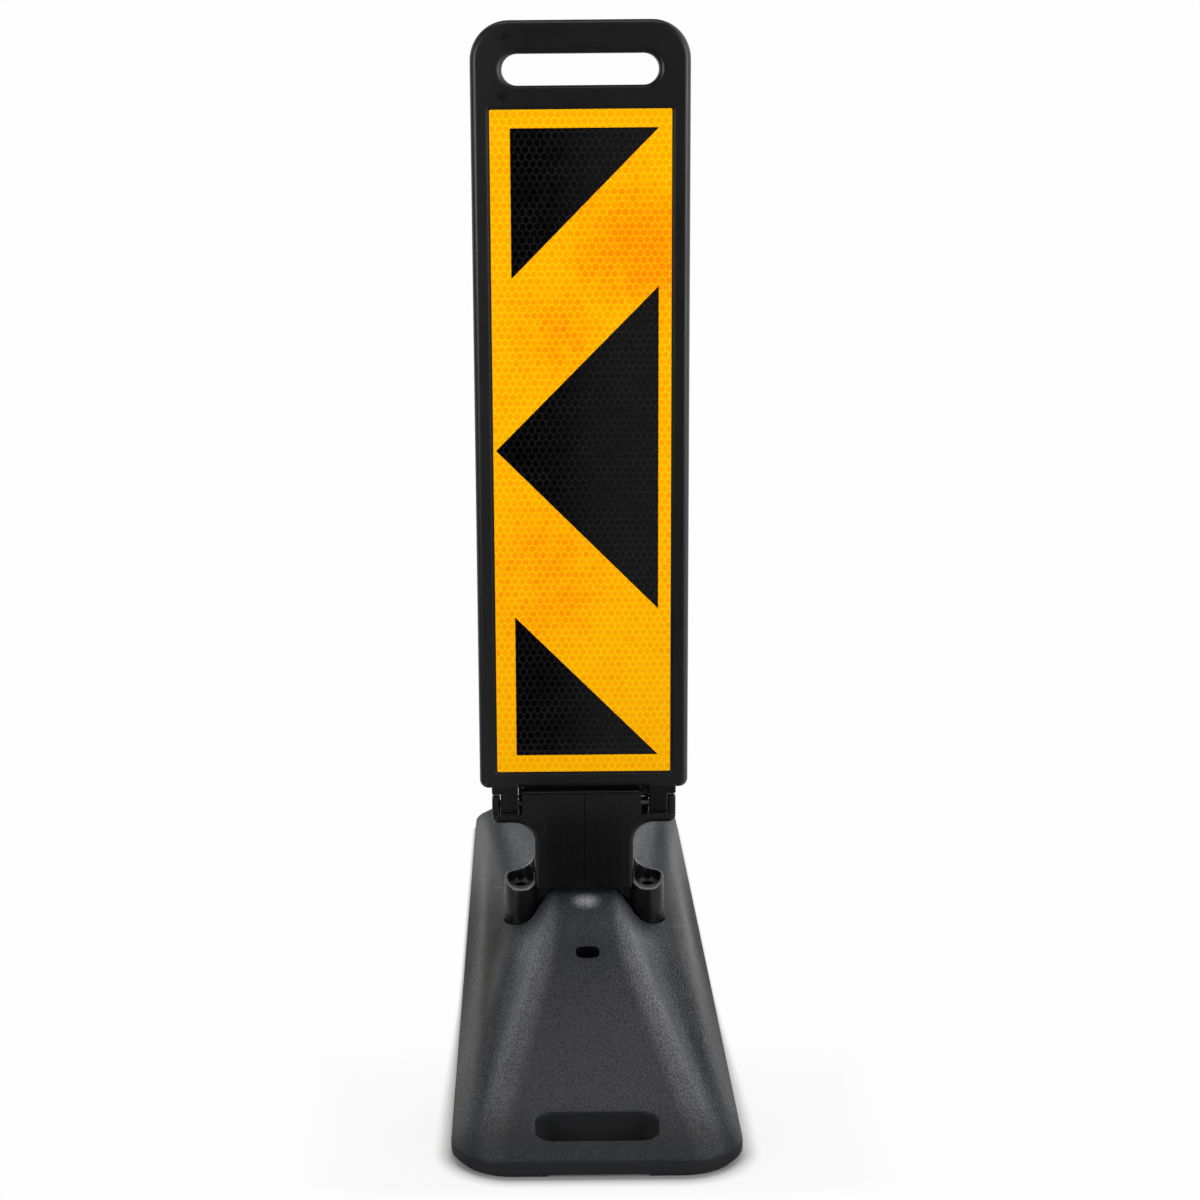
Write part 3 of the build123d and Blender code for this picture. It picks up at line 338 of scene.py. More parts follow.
class Graph:
    """Short calls for building one node tree; a value may be a socket or a plain number."""

    def __init__(self, tree):
        self.tree = tree
        tree.nodes.clear()

    def feed(self, socket, value):
        """Link a socket to another one, or set it to a plain value."""
        if isinstance(value, bpy.types.NodeSocket):
            self.tree.links.new(value, socket)
        else:
            socket.default_value = value

    def add(self, kind, inputs=None, **settings):
        """New node with its settings and inputs."""
        node = self.tree.nodes.new("ShaderNode" + kind)
        for name, value in settings.items():
            setattr(node, name, value)
        for name, value in (inputs or {}).items():
            self.feed(node.inputs[name], value)
        return node

    def math(self, operation, *values):
        node = self.add("Math", dict(enumerate(values)), operation=operation)
        return node.outputs["Value"]

    def chain(self, operation, first, *others):
        """Values joined by the same operation, one after another."""
        for other in others:
            first = self.math(operation, first, other)
        return first

    def total(self, *values):
        return self.chain("ADD", *values)

    def product(self, *values):
        return self.chain("MULTIPLY", *values)

    def largest(self, *values):
        return self.chain("MAXIMUM", *values)

    def scaled(self, value, factor, offset):
        """Value times a factor, plus an offset."""
        return self.math("MULTIPLY_ADD", value, factor, offset)

    def apart(self, first, second):
        """How far two values lie apart."""
        return self.math("ABSOLUTE", self.math("SUBTRACT", first, second))

    def vector(self, operation, *values):
        return self.add("VectorMath", dict(enumerate(values)), operation=operation).outputs[0]

    def length(self, vector):
        return self.add("VectorMath", {0: vector}, operation="LENGTH").outputs["Value"]

    def axes(self, vector):
        """The three coordinates of a vector."""
        node = self.add("SeparateXYZ", {"Vector": vector})
        return node.outputs["X"], node.outputs["Y"], node.outputs["Z"]

    def point(self):
        """Place on the surface, in the part's frame."""
        return self.add("TexCoord").outputs["Object"]

    def facing(self):
        """How far the surface of the resting piece faces right, back and up, each from -1 to 1."""
        return self.axes(self.add("TexCoord").outputs["Normal"])

    def distance_2d(self, across, up, place):
        """Distance of two coordinates from a place in their plane."""
        away = {"X": self.math("SUBTRACT", across, place[0]), "Y": self.math("SUBTRACT", up, place[1])}
        return self.length(self.add("CombineXYZ", away).outputs["Vector"])

    def ellipse(self, across, up, place, half_size):
        """Distance of two coordinates from an ellipse's middle, 1 at its border."""
        aside = self.math("DIVIDE", self.math("SUBTRACT", across, place[0]), half_size[0])
        above = self.math("DIVIDE", self.math("SUBTRACT", up, place[1]), half_size[1])
        return self.distance_2d(aside, above, (0.0, 0.0))

    def ramp(self, value, start, end, low=0.0, high=1.0):
        """Smooth step from low to high as the value goes from start to end."""
        inputs = {"Value": value, "From Min": start, "From Max": end, "To Min": low, "To Max": high}
        return self.add("MapRange", inputs, interpolation_type="SMOOTHSTEP").outputs["Result"]

    def within(self, value, limit, strength=1.0):
        """Full strength up to a limit, gone a millimetre past it."""
        return self.ramp(value, limit, limit + MILLIMETRE, strength, 0.0)

    def noise(self, vector, scale, detail, roughness):
        inputs = {"Vector": vector, "Scale": scale, "Detail": detail, "Roughness": roughness}
        return self.add("TexNoise", inputs).outputs["Fac"]

    def noise_vector(self, vector, scale, reach):
        """Offset in a random direction, up to about half the reach."""
        inputs = {"Vector": vector, "Scale": scale, "Detail": OFFSET_DETAIL}
        centred = self.vector("SUBTRACT", self.add("TexNoise", inputs).outputs["Color"], HALF_WAY)
        return self.vector("MULTIPLY", centred, (reach, reach, reach))

    def mix(self, factor, first, second, kind="RGBA"):
        """Value between two others; both are colours unless another kind is named."""
        first_socket, second_socket, result = MIX_SOCKETS[kind]
        node = self.add("Mix", {0: factor, first_socket: first, second_socket: second}, data_type=kind)
        return node.outputs[result]

    def rounded(self, radius):
        """Normal of the surface with its edges rounded off."""
        return self.add("Bevel", {"Radius": radius}, samples=EDGE_SAMPLES).outputs["Normal"]

    def bump(self, height, depth, normal=None):
        """Surface relief of a height between 0 and 1, with its full depth in metres."""
        inputs = {"Height": height, "Strength": 1.0, "Distance": depth}
        if normal is not None:
            inputs["Normal"] = normal
        return self.add("Bump", inputs).outputs["Normal"]

    def surface(self, **inputs):
        """Principled surface; underscores in the names stand for spaces."""
        named = {name.replace("_", " "): value for name, value in inputs.items()}
        shader = self.add("BsdfPrincipled", named)
        self.add("OutputMaterial", {"Surface": shader.outputs["BSDF"]})


def new_material(name):
    """Empty material and the graph of its nodes."""
    material = bpy.data.materials.new(name)
    material.use_nodes = True
    return material, Graph(material.node_tree)


def moulded_plastic(name, level, roughness, edge_radius, details):
    """Black satin moulding: fine skin, cloudy gloss and faint scuffs; details adds its own marks."""
    material, graph = new_material(name)
    point = graph.point()
    clouds = graph.noise(point, *PLASTIC_CLOUD_NOISE)
    skin = graph.noise(point, *SKIN_NOISE)
    stretched = graph.vector("MULTIPLY", point, SCUFF_STRETCH)
    scuff = graph.ramp(graph.noise(stretched, *SCUFF_NOISE), *SCUFF_STEP)
    scuff = graph.product(scuff, graph.ramp(clouds, *SCUFF_CLOUD_STEP))
    dark = grey(level * (1 - PLASTIC_CLOUD_SPREAD))
    light = grey(level * (1 + PLASTIC_CLOUD_SPREAD), level * PLASTIC_CLOUD_BLUE)
    tone = graph.mix(clouds, dark, light)
    tone = graph.mix(graph.product(scuff, SCUFF_STRENGTH), tone, SCUFF_TONE)
    rough = graph.scaled(clouds, PLASTIC_CLOUD_ROUGHNESS, roughness - PLASTIC_CLOUD_ROUGHNESS / 2)
    rough = graph.scaled(scuff, SCUFF_ROUGHNESS, rough)
    normal = graph.bump(skin, SKIN_DEPTH, graph.rounded(edge_radius))
    tone, gloss, normal = details(graph, point, tone, normal)
    graph.surface(Base_Color=tone, Roughness=rough, Normal=normal, IOR=PLASTIC_IOR, Specular_IOR_Level=gloss)
    return material


def bracket_marks(graph, point, tone, normal):
    """Sink lines over the ribs, the moulding seam, a duller neck; painted light on cup floors, painted
    highlights on rims.
    """
    x, y, z = graph.axes(point)
    beside = graph.math("ABSOLUTE", x)
    from_rib = graph.math("PINGPONG", graph.total(x, RIB_LEAD), RIB_PITCH / 2)
    sink = graph.ramp(from_rib, 0.0, SINK_WIDTH, 1.0, 0.0)
    sink = graph.product(sink, graph.within(beside, RIB_REACH))
    normal = graph.bump(sink, -SINK_DEPTH, normal)
    seam = graph.ramp(graph.apart(x, SEAM_PLACE), *SEAM_STEP)
    neck = graph.within(beside, NECK_HALF_WIDTH, NECK_DULLNESS)
    neck = graph.scaled(sink, SINK_DULLNESS, neck)
    neck = graph.product(neck, graph.ramp(z, *NECK_TOP_STEP))
    dull = graph.largest(neck, seam, graph.ramp(z, *HEAD_STEP))
    gloss = graph.scaled(dull, -BRACKET_GLOSS, BRACKET_GLOSS)
    from_boss = graph.distance_2d(beside, y, BOSS_PLACE)
    _, _, upward = graph.facing()
    # Painted light: the cup floors are made paler where they face up
    dust_and_painted_light = graph.within(graph.apart(z, CUP_FLOOR), CUP_FLOOR_REACH)
    dust_and_painted_light = graph.product(dust_and_painted_light, graph.ramp(upward, *CUP_FLOOR_FACING_STEP))
    dust_and_painted_light = graph.product(dust_and_painted_light, graph.within(from_boss, CUP_RADIUS))
    tone = graph.mix(dust_and_painted_light, tone, CUP_FLOOR_PAINTED_LIGHT_TONE)
    # Painted highlights: the cup rims are made paler where they face partly up
    rim_highlight = graph.ramp(from_boss, CUP_RADIUS, CUP_RADIUS + MILLIMETRE)
    rim_highlight = graph.product(rim_highlight, graph.within(from_boss, BOSS_RADIUS), graph.ramp(upward, *RIM_FACING_STEP))
    rim_highlight = graph.product(rim_highlight, graph.ramp(z, *RIM_TOP_STEP))
    return graph.mix(rim_highlight, tone, RIM_HIGHLIGHT_TONE), gloss, normal


def panel_marks(graph, point, tone, normal):
    """Painted reflection on the left rail, smudges beside the handle, dull tabs and upper edges, painted
    highlights on right-hand edges.
    """
    x, _, z = graph.axes(point)
    # Painted reflection: the left rail is made paler
    painted_light = graph.product(graph.ramp(x, *LEFT_RAIL_STEP), LEFT_RAIL_STRENGTH)
    tone = graph.mix(painted_light, tone, LEFT_RAIL_REFLECTION_TONE)
    for place in SMUDGES:
        smudge = graph.ramp(graph.distance_2d(x, z, place), *SMUDGE_STEP)
        tone = graph.mix(smudge, tone, SMUDGE_TONE)
    rightward, _, upward = graph.facing()
    gloss = graph.product(graph.ramp(z, *TAB_GLOSS_STEP), graph.ramp(upward, *UPPER_EDGE_STEP))
    # Painted highlight on the rounded right-hand edges, which face partly right
    edge_highlight = graph.product(graph.ramp(rightward, *EDGE_HIGHLIGHT_FRONT_STEP), graph.ramp(rightward, *EDGE_HIGHLIGHT_SIDE_STEP))
    return graph.mix(edge_highlight, tone, EDGE_HIGHLIGHT_TONE), gloss, normal


def ridge_sheen_mask(graph, x, y):
    """Painted sheen along both ridges of the hump, and fainter painted sheen on the top between them."""
    across = graph.math("ABSOLUTE", x)
    away = graph.math("ABSOLUTE", y)
    ridge_line = graph.scaled(away, RIDGE_SPREAD, RIDGE_HALF_WIDTH)
    ridge_line = graph.math("SMOOTH_MAX", ridge_line, RIDGE_LEAST, RIDGE_BLEND)
    beyond = graph.math("SUBTRACT", across, ridge_line)
    inner = graph.math("DIVIDE", beyond, -RIDGE_INNER_BAND)
    outer = graph.math("DIVIDE", beyond, graph.ramp(x, *RIDGE_OUTER_BAND_STEP))
    outer = graph.product(outer, graph.ramp(away, *RIDGE_OUTER_CREST_STEP))
    ridge_sheen = graph.ramp(graph.largest(inner, outer), *RIDGE_BAND_STEP)
    ridge_sheen = graph.product(ridge_sheen, graph.ramp(away, *RIDGE_END_STEP))
    ridge_sheen = graph.largest(ridge_sheen, graph.ramp(away, *HUMP_TOP_STEP))
    return graph.product(ridge_sheen, graph.ramp(x, *RIDGE_SIDE_STEP), graph.ramp(y, *RIDGE_FAR_STEP))


def foot_masks(graph, x, y):
    """Flanges outside the hump's foot, where painted light lies on them, and the valleys inside the foot for
    painted shade.
    """
    across = graph.math("ABSOLUTE", x)
    away = graph.math("ABSOLUTE", y)
    foot_line = graph.scaled(away, FOOT_SPREAD, FOOT_HALF_WIDTH)
    foot_line = graph.total(foot_line, graph.ramp(x, *FOOT_SIDE_STEP))
    beyond = graph.math("SUBTRACT", across, foot_line)
    flange = graph.ramp(beyond, -FOOT_BLEND, FOOT_BLEND)
    valley = graph.ramp(graph.apart(beyond, -VALLEY_INSET), 0.0, VALLEY_INSET, 1.0, 0.0)
    valley = graph.product(valley, graph.ramp(away, *VALLEY_LENGTH_STEP))
    right = graph.product(graph.ramp(x, *FLANGE_LIGHT_RIGHT_STEP), graph.ramp(y, *FLANGE_LIGHT_RIGHT_LENGTH_STEP))
    left = graph.product(graph.ramp(beyond, *FLANGE_LIGHT_LEFT_STEP), graph.ramp(x, *LEFT_SIDE_STEP))
    left = graph.product(left, graph.ramp(y, *FLANGE_LIGHT_LEFT_LENGTH_STEP))
    painted_light = graph.largest(right, left, graph.ramp(y, *FLANGE_LIGHT_FAR_STEP))
    return flange, painted_light, valley


def base_rubber():
    """Dark grey rubber: grained hump, smooth flanges and walls; painted sheen on ridges, painted highlight on
    the crest, painted light on parts of the flanges, painted shade in valleys, on walls, end bars and anchor
    holes.
    """
    material, graph = new_material("base_rubber")
    point = graph.point()
    x, y, _ = graph.axes(point)
    across = graph.math("ABSOLUTE", x)
    away = graph.math("ABSOLUTE", y)
    ridge_sheen = ridge_sheen_mask(graph, x, y)
    flange, painted_light_flange, valley = foot_masks(graph, x, y)
    _, _, upward = graph.facing()
    wall = graph.ramp(upward, *WALL_FACING_STEP)
    smooth = graph.largest(graph.product(flange, FLANGE_SMOOTHNESS), wall)
    grainy = graph.math("SUBTRACT", 1.0, smooth)

    drawn_out = graph.vector("MULTIPLY", point, GRAIN_STRETCH)
    bent = graph.vector("ADD", drawn_out, graph.noise_vector(drawn_out, GRAIN_BEND_SCALE, GRAIN_BEND_REACH))
    grain = graph.ramp(graph.noise(bent, *GRAIN_NOISE), *GRAIN_STEP)
    relief = graph.scaled(graph.noise(point, *FINE_GRAIN_NOISE), FINE_GRAIN_SHARE, grain)
    normal = graph.bump(graph.product(relief, grainy), GRAIN_DEPTH)

    clouds = graph.noise(point, *RUBBER_CLOUD_NOISE)
    streaks = graph.noise(graph.vector("MULTIPLY", point, STREAK_STRETCH), *STREAK_NOISE)
    tone = graph.mix(clouds, *RUBBER_TONES)
    # Painted sheen along the ridges
    tone = graph.mix(graph.product(ridge_sheen, RIDGE_SHEEN_STRENGTH), tone, RIDGE_SHEEN_TONE)
    grain_top = graph.mix(ridge_sheen, *GRAIN_TONES)
    tone = graph.mix(graph.product(grain, graph.product(grainy, GRAIN_STRENGTH)), tone, grain_top)
    plain = graph.mix(streaks, *FLANGE_TONES)
    # Painted light on parts of the flanges: the right side, a strip on the left and the far half
    plain = graph.mix(painted_light_flange, plain, graph.mix(streaks, *PAINTED_LIGHT_FLANGE_TONES))
    tone = graph.mix(flange, tone, plain)
    # Painted shade in the valleys
    tone = graph.mix(graph.product(valley, VALLEY_SHADE_STRENGTH), tone, VALLEY_SHADE_TONE)
    # Painted shade on the walls and the end bars
    shaded = graph.largest(wall, graph.ramp(away, *END_BAR_SHADE_STEP))
    tone = graph.mix(shaded, tone, WALL_SHADE_TONE)
    # Painted shade on the walls of the anchor holes
    hole = graph.within(graph.distance_2d(x, away, ANCHOR_HOLE), ANCHOR_HOLE_REACH)
    tone = graph.mix(graph.product(hole, wall), tone, ANCHOR_HOLE_SHADE_TONE)

    # Painted highlight on the crest, broken by the seam
    crest_highlight = graph.ramp(graph.ellipse(x, y, CREST_SPOT, CREST_HALF_SIZE), *CREST_STEP)
    crest_highlight = graph.product(crest_highlight, graph.ramp(across, *CREST_SEAM_STEP))
    crest_highlight = graph.product(crest_highlight, graph.scaled(grain, CREST_GRAIN_SHARE, 1 - CREST_GRAIN_SHARE))
    tone = graph.mix(crest_highlight, tone, CREST_HIGHLIGHT_TONE)

    ring = graph.ramp(graph.apart(graph.distance_2d(x, y, GATE_MARK), GATE_RADIUS), *GATE_RING_STEP)
    tone = graph.mix(graph.product(ring, GATE_STRENGTH), tone, GATE_TONE)
    normal = graph.bump(ring, GATE_DEPTH, normal)

    rough = graph.scaled(grain, -GRAIN_SMOOTHING, RUBBER_ROUGHNESS)
    rough = graph.scaled(streaks, STREAK_ROUGHNESS, rough)
    hump_gloss = graph.scaled(ridge_sheen, RIDGE_GLOSS, graph.ramp(away, *RAMP_GLOSS_STEP))
    flange_gloss = graph.product(flange, graph.ramp(y, *FLANGE_GLOSS_STEP))
    flange_gloss = graph.product(flange_gloss, graph.ramp(x, *FLANGE_GLOSS_SIDE_STEP))
    gloss = graph.largest(hump_gloss, flange_gloss)
    gloss = graph.product(gloss, graph.scaled(shaded, -WALL_DULLNESS, 1.0))
    gloss = graph.product(gloss, graph.scaled(valley, -VALLEY_DULLNESS, 1.0))
    graph.surface(Base_Color=tone, Roughness=rough, Normal=normal, IOR=RUBBER_IOR, Specular_IOR_Level=gloss)
    return material


def honeycomb(graph, point):
    """Wobbly hexagonal cells in the plane of the sheeting: border strength and a number per cell."""
    x, _, z = graph.axes(point)
    flat = graph.add("CombineXYZ", {"X": x, "Y": graph.math("DIVIDE", z, CELL_STRETCH)}).outputs["Vector"]
    wobble = graph.noise_vector(flat, CELL_WOBBLE_SCALE, CELL_WOBBLE)
    flat = graph.vector("ADD", flat, graph.vector("MULTIPLY", wobble, (1.0, 1.0, 0.0)))
    spacing = (CELL_PITCH, CELL_PITCH * math.sqrt(3), 1.0)
    half = tuple(size / 2 for size in spacing)
    minus_half = tuple(-size for size in half)
    first = graph.vector("WRAP", flat, half, minus_half)
    offset = (half[0], half[1], 0.0)
    second = graph.vector("WRAP", graph.vector("ADD", flat, offset), half, minus_half)
    nearer = graph.math("LESS_THAN", graph.length(second), graph.length(first))
    chosen = graph.mix(nearer, first, second, "VECTOR")
    centre = graph.vector("DIVIDE", graph.vector("SUBTRACT", flat, chosen), half)
    centre = graph.vector("FLOOR", graph.vector("ADD", centre, HALF_WAY))
    number = graph.add("TexWhiteNoise", {"Vector": centre}, noise_dimensions="2D").outputs["Value"]
    beside, above, _ = graph.axes(graph.vector("ABSOLUTE", chosen))
    slanted = graph.scaled(above, SLANTED_SIDE[1], graph.product(beside, SLANTED_SIDE[0]))
    straight = graph.largest(beside, slanted)
    rounded = graph.product(graph.length(chosen), CELL_ROUNDING)
    from_centre = graph.math("SMOOTH_MAX", straight, rounded, CELL_CORNER_BLEND)
    border = graph.ramp(from_centre, *CELL_BORDER_STEP)
    return border, number


def amber_sheeting():
    """Sealed honeycomb sheeting: orange cells between paler borders, under a clear face."""
    material, graph = new_material("amber_sheeting")
    point = graph.point()
    x, _, z = graph.axes(point)
    border, number = honeycomb(graph, point)
    mottle = graph.noise(point, *MOTTLE_NOISE)
    warm = graph.scaled(graph.noise(point, *WARM_NOISE), *WARM_NOISE_RANGE)
    for place, half_size, strength in WARM_PATCHES:
        patch = graph.ramp(graph.ellipse(x, z, place, half_size), 0.0, 1.0, strength, 0.0)
        warm = graph.total(warm, patch)
    warm = graph.total(warm, graph.ramp(z, *WARM_TOP_STEP))
    warm_cell = graph.total(warm, graph.scaled(number, *WARM_CELL_RANGE))
    deep = graph.mix(graph.ramp(warm_cell, *WARM_STEP), *DEEP_TONES)
    pale = graph.mix(graph.ramp(warm, *WARM_STEP), *PALE_TONES)
    cell = graph.mix(graph.product(mottle, MOTTLE_STRENGTH), deep, pale)
    tone = graph.mix(border, cell, pale)
    rough = graph.scaled(border, SHEET_BORDER_ROUGHNESS, SHEET_ROUGHNESS)
    normal = graph.bump(border, SHEET_BORDER_DEPTH)
    graph.surface(Base_Color=tone, Roughness=rough, Normal=normal, Specular_IOR_Level=SHEET_GLOSS)
    return material


def black_film():
    """Black overlay film through which the borders of the honeycomb show."""
    material, graph = new_material("black_film")
    point = graph.point()
    border, number = honeycomb(graph, point)
    dust_and_painted_light = graph.noise(point, *FILM_DUST_NOISE)
    lines = graph.product(border, graph.ramp(dust_and_painted_light, *FILM_DUST_STEP))
    cell = graph.mix(number, *FILM_CELL_TONES)
    tone = graph.mix(lines, cell, FILM_BORDER_TONE)
    rough = graph.scaled(dust_and_painted_light, FILM_DUST_ROUGHNESS, FILM_ROUGHNESS)
    normal = graph.bump(border, FILM_BORDER_DEPTH)
    graph.surface(Base_Color=tone, Roughness=rough, Normal=normal, IOR=FILM_IOR)
    return material


def metal(name):
    """Drawn or plated metal: fine drawing marks, cloudy gloss and some tarnish."""
    colour, tarnish, roughness, grain = METALS[name]
    material, graph = new_material(name)
    point = graph.point()
    marks = graph.noise(graph.vector("MULTIPLY", point, grain), *MARK_NOISE)
    clouds = graph.noise(point, *TARNISH_NOISE)
    tone = graph.mix(graph.ramp(clouds, *TARNISH_STEP), colour, tarnish)
    rough = graph.scaled(clouds, TARNISH_ROUGHNESS, roughness)
    normal = graph.bump(marks, MARK_DEPTH)
    graph.surface(Base_Color=tone, Metallic=1.0, Roughness=rough, Normal=normal)
    return material


def coil_point(turn, side, start):
    """Point on a spring's coil, which starts in front of the pin and winds outwards."""
    angle = math.pi - 2 * math.pi * turn
    across = side * (start + COIL_PITCH * turn)
    return Vector((across, COIL_RADIUS * math.cos(angle), HINGE_HEIGHT + COIL_RADIUS * math.sin(angle)))


def spring_route(side, leg_end, coil_start, turns):
    """Centre line of a spring: fixed leg, coil, bend and the moving leg along X."""
    count = math.ceil(turns * POINTS_PER_TURN)
    coil = [coil_point(turns * index / count, side, coil_start) for index in range(count + 1)]
    lead_in = (coil[0] - coil[1]).normalized()
    route = [coil[0] + lead_in * FIXED_LEG_LENGTH] + coil
    way = (coil[-1] - coil[-2]).normalized()
    outward = Vector((side, 0.0, 0.0))
    inward = (outward - way * way.dot(outward)).normalized()
    turn = math.acos(way.dot(outward))
    for index in range(1, BEND_POINTS + 1):
        angle = turn * index / BEND_POINTS
        step = way * math.sin(angle) + inward * (1 - math.cos(angle))
        route.append(coil[-1] + step * LEG_BEND_RADIUS)
    route.append(Vector((leg_end, route[-1].y, route[-1].z)))
    return route


def wire(name, route, radius):
    """Round wire with flat ends along a route of points."""
    ways = []
    for index in range(len(route)):
        before = route[max(index - 1, 0)]
        after = route[min(index + 1, len(route) - 1)]
        ways.append((after - before).normalized())
    aside = ways[0].orthogonal().normalized()
    mesh = bmesh.new()
    rings = []
    for index, point in enumerate(route):
        if index > 0:
            aside = ways[index - 1].rotation_difference(ways[index]) @ aside
        ring = []
        for corner in range(WIRE_SIDES):
            angle = 2 * math.pi * corner / WIRE_SIDES
            ring.append(mesh.verts.new(point + Quaternion(ways[index], angle) @ aside * radius))
        rings.append(ring)
    for ring, following in zip(rings, rings[1:]):
        for corner in range(WIRE_SIDES):
            beside = (corner + 1) % WIRE_SIDES
            face = mesh.faces.new((ring[corner], ring[beside], following[beside], following[corner]))
            face.smooth = True
    mesh.faces.new(reversed(rings[0]))
    mesh.faces.new(rings[-1])
    return new_object(name, mesh)


def new_object(name, mesh):
    """Object in the scene, with a mesh that is then set free."""
    data = bpy.data.meshes.new(name)
    mesh.to_mesh(data)
    mesh.free()
    piece = bpy.data.objects.new(name, data)
    bpy.context.collection.objects.link(piece)
    return piece


def spring(side_name, material):
    """Wire spring in place of a spring's solid."""
    node = "return_spring_" + side_name
    side = SIDES[side_name]
    low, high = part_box(node)
    reach = sorted((abs(low.x), abs(high.x)))
    coil_start = reach[0] + WIRE_RADIUS
    lean = COIL_PITCH / math.hypot(COIL_PITCH, 2 * math.pi * COIL_RADIUS)
    lead = math.atan2(LEG_BEND_RADIUS * (1 - lean), COIL_RADIUS)
    turns = COIL_TURNS - lead / (2 * math.pi)
    route = spring_route(side, side * reach[1], coil_start, turns)
    piece = wire("spring_wire_" + side_name, route, WIRE_RADIUS)
    piece.data.materials.append(material)
    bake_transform(piece)
    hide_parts(node)


def corner_distance(graph, x, y, inset, stretch):
    """Distance outside the base's rectangle, drawn in by an inset; the lengthwise share is stretched."""
    across = graph.math("ABSOLUTE", x)
    along = graph.math("ABSOLUTE", y)
    over_x = graph.largest(graph.math("SUBTRACT", across, BASE_HIGH.x - inset), 0.0)
    over_y = graph.largest(graph.math("SUBTRACT", along, BASE_HIGH.y - inset), 0.0)
    over_y = graph.product(over_y, stretch)
    return graph.length(graph.add("CombineXYZ", {"X": over_x, "Y": over_y}).outputs["Vector"])


def floor():
    """Pale floor that keeps the shadow and fades into the white background."""
    mesh = bmesh.new()
    bmesh.ops.create_circle(mesh, cap_ends=True, segments=FLOOR_SIDES, radius=FLOOR_RADIUS)
    plane = new_object("floor", mesh)
    plane.location.z = -FLOOR_DROP
    material, graph = new_material("floor")
    x, y, _ = graph.axes(graph.point())
    beside = corner_distance(graph, x, y, BASE_CORNER_RADIUS, 1.0)
    beside = graph.math("SUBTRACT", beside, BASE_CORNER_RADIUS)
    around_end = corner_distance(graph, x, y, 0.0, NEAR_END_STRETCH)
    from_end = graph.largest(graph.ramp(around_end, *NEAR_END_REACH_STEP), graph.ramp(y, *NEAR_END_STEP))
    reach = graph.ramp(y, *SHADOW_REACH_STEP)
    white = graph.ramp(graph.math("DIVIDE", beside, reach), 0.0, 1.0)
    white = graph.product(white, graph.ramp(from_end, 0.0, 1.0, NEAR_END_LEVEL, 1.0))
    path = graph.add("LightPath")
    shade = graph.add("BsdfDiffuse", {"Color": FLOOR_SHADE})
    glow = graph.add("Emission", {"Color": FLOOR_WHITE, "Strength": 1.0})
    opening = graph.add("BsdfTransparent")
    lit = graph.product(white, path.outputs["Is Camera Ray"])
    seen = graph.add("MixShader", {0: lit, 1: shade.outputs[0], 2: glow.outputs[0]})
    open_floor = graph.product(graph.ramp(beside, *OPEN_FLOOR_STEP), path.outputs["Is Glossy Ray"])
    whole = graph.add("MixShader", {0: open_floor, 1: seen.outputs[0], 2: opening.outputs[0]})
    graph.add("OutputMaterial", {"Surface": whole.outputs[0]})
    plane.data.materials.append(material)


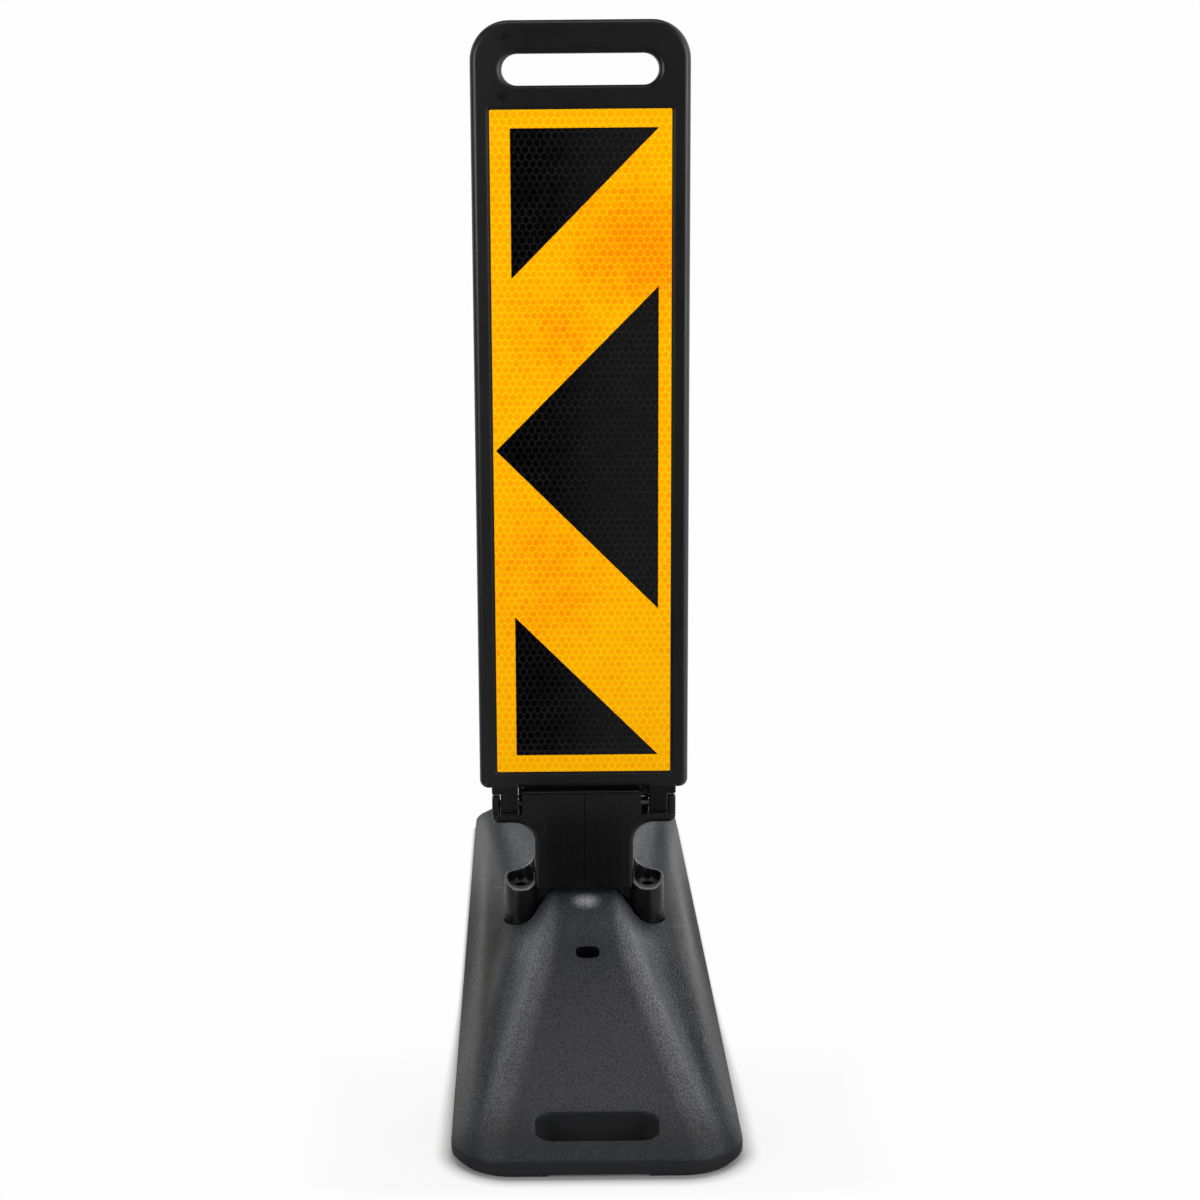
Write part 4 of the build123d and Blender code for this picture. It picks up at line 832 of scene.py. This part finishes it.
def world():
    """White to the camera; for the object a studio with pale walls behind on both sides, dark in front."""
    studio = bpy.data.worlds.new("studio")
    studio.use_nodes = True
    bpy.context.scene.world = studio
    graph = Graph(studio.node_tree)
    x, y, z = graph.axes(graph.add("TexCoord").outputs["Generated"])
    behind = graph.ramp(y, *BEHIND_STEP)
    right_wall = graph.product(graph.ramp(x, *RIGHT_WALL_STEP), behind)
    left_wall = graph.product(graph.ramp(x, *LEFT_WALL_STEP), behind)
    back_wall = graph.product(graph.ramp(y, *BACK_WALL_STEP), graph.ramp(z, *BACK_WALL_TOP_STEP))
    raised = graph.product(graph.ramp(z, *SCREENS_FOOT_STEP), graph.ramp(z, *SCREENS_TOP_STEP), behind)
    right_screen = graph.product(graph.ramp(x, *RIGHT_SCREEN_STEP), raised)
    left_screen = graph.product(graph.ramp(x, *LEFT_SCREEN_STEP), raised)
    ceiling = graph.ramp(z, *CEILING_STEP)
    front_right = graph.product(graph.ramp(x, *FRONT_RIGHT_STEP), graph.ramp(y, *FRONT_STEP))
    level = graph.total(right_wall, left_wall, back_wall, right_screen, left_screen, ceiling, front_right)
    seen = graph.add("LightPath").outputs["Is Camera Ray"]
    strength = graph.mix(seen, level, BACKGROUND_LEVEL, "FLOAT")
    background = graph.add("Background", {"Color": grey(1.0), "Strength": strength})
    graph.add("OutputWorld", {"Surface": background.outputs[0]})


def lamp(name, place, aim, size, power):
    """Soft rectangular lamp that looks at a point."""
    data = bpy.data.lights.new(name, "AREA")
    data.shape = "RECTANGLE"
    data.size, data.size_y = size
    data.energy = power
    light = bpy.data.objects.new(name, data)
    light.location = place
    way = Vector(aim) - Vector(place)
    light.rotation_euler = way.to_track_quat("-Z", "Y").to_euler()
    light.visible_camera = False
    bpy.context.collection.objects.link(light)


def camera():
    """Camera at its place, tilted down and rolled a little, with the picture's middle shifted aside."""
    data = bpy.data.cameras.new("camera")
    data.sensor_width = SENSOR_WIDTH_MM
    data.lens = FOCAL_PIXELS / IMAGE_SIZE * SENSOR_WIDTH_MM
    data.shift_x = CAMERA_SHIFT_X
    view = bpy.data.objects.new("camera", data)
    tilt = Matrix.Rotation(math.radians(90 - CAMERA_PITCH), 4, "X")
    roll = Matrix.Rotation(math.radians(CAMERA_ROLL), 4, "Z")
    view.matrix_world = Matrix.Translation(CAMERA_PLACE) @ tilt @ roll
    bpy.context.collection.objects.link(view)
    bpy.context.scene.camera = view


def dress(material, *names):
    """Give nodes of the part a material in place of their plain one."""
    for name in names:
        data = nodes[name].data
        data.materials.clear()
        data.materials.append(material)


dress(base_rubber(), "base")
dress(moulded_plastic("bracket_plastic", *BRACKET_LOOK, bracket_marks), "bracket")
dress(moulded_plastic("panel_plastic", *PANEL_LOOK, panel_marks), "panel")
dress(amber_sheeting(), "reflective_sheet")
dress(black_film(), "chevron_top", "chevron_middle", "chevron_bottom")
dress(metal("plated_steel"), "backing_plate", "bracket_bolts", "lock_washers")
dress(metal("insert_brass"), "boss_inserts")
dress(metal("pin_steel"), "hinge_pin")
spring_steel = metal("spring_steel")
for side_name in SIDES:
    spring(side_name, spring_steel)

floor()
world()
for settings in LAMPS:
    lamp(*settings)
camera()
bpy.context.scene.view_settings.view_transform = "Standard"
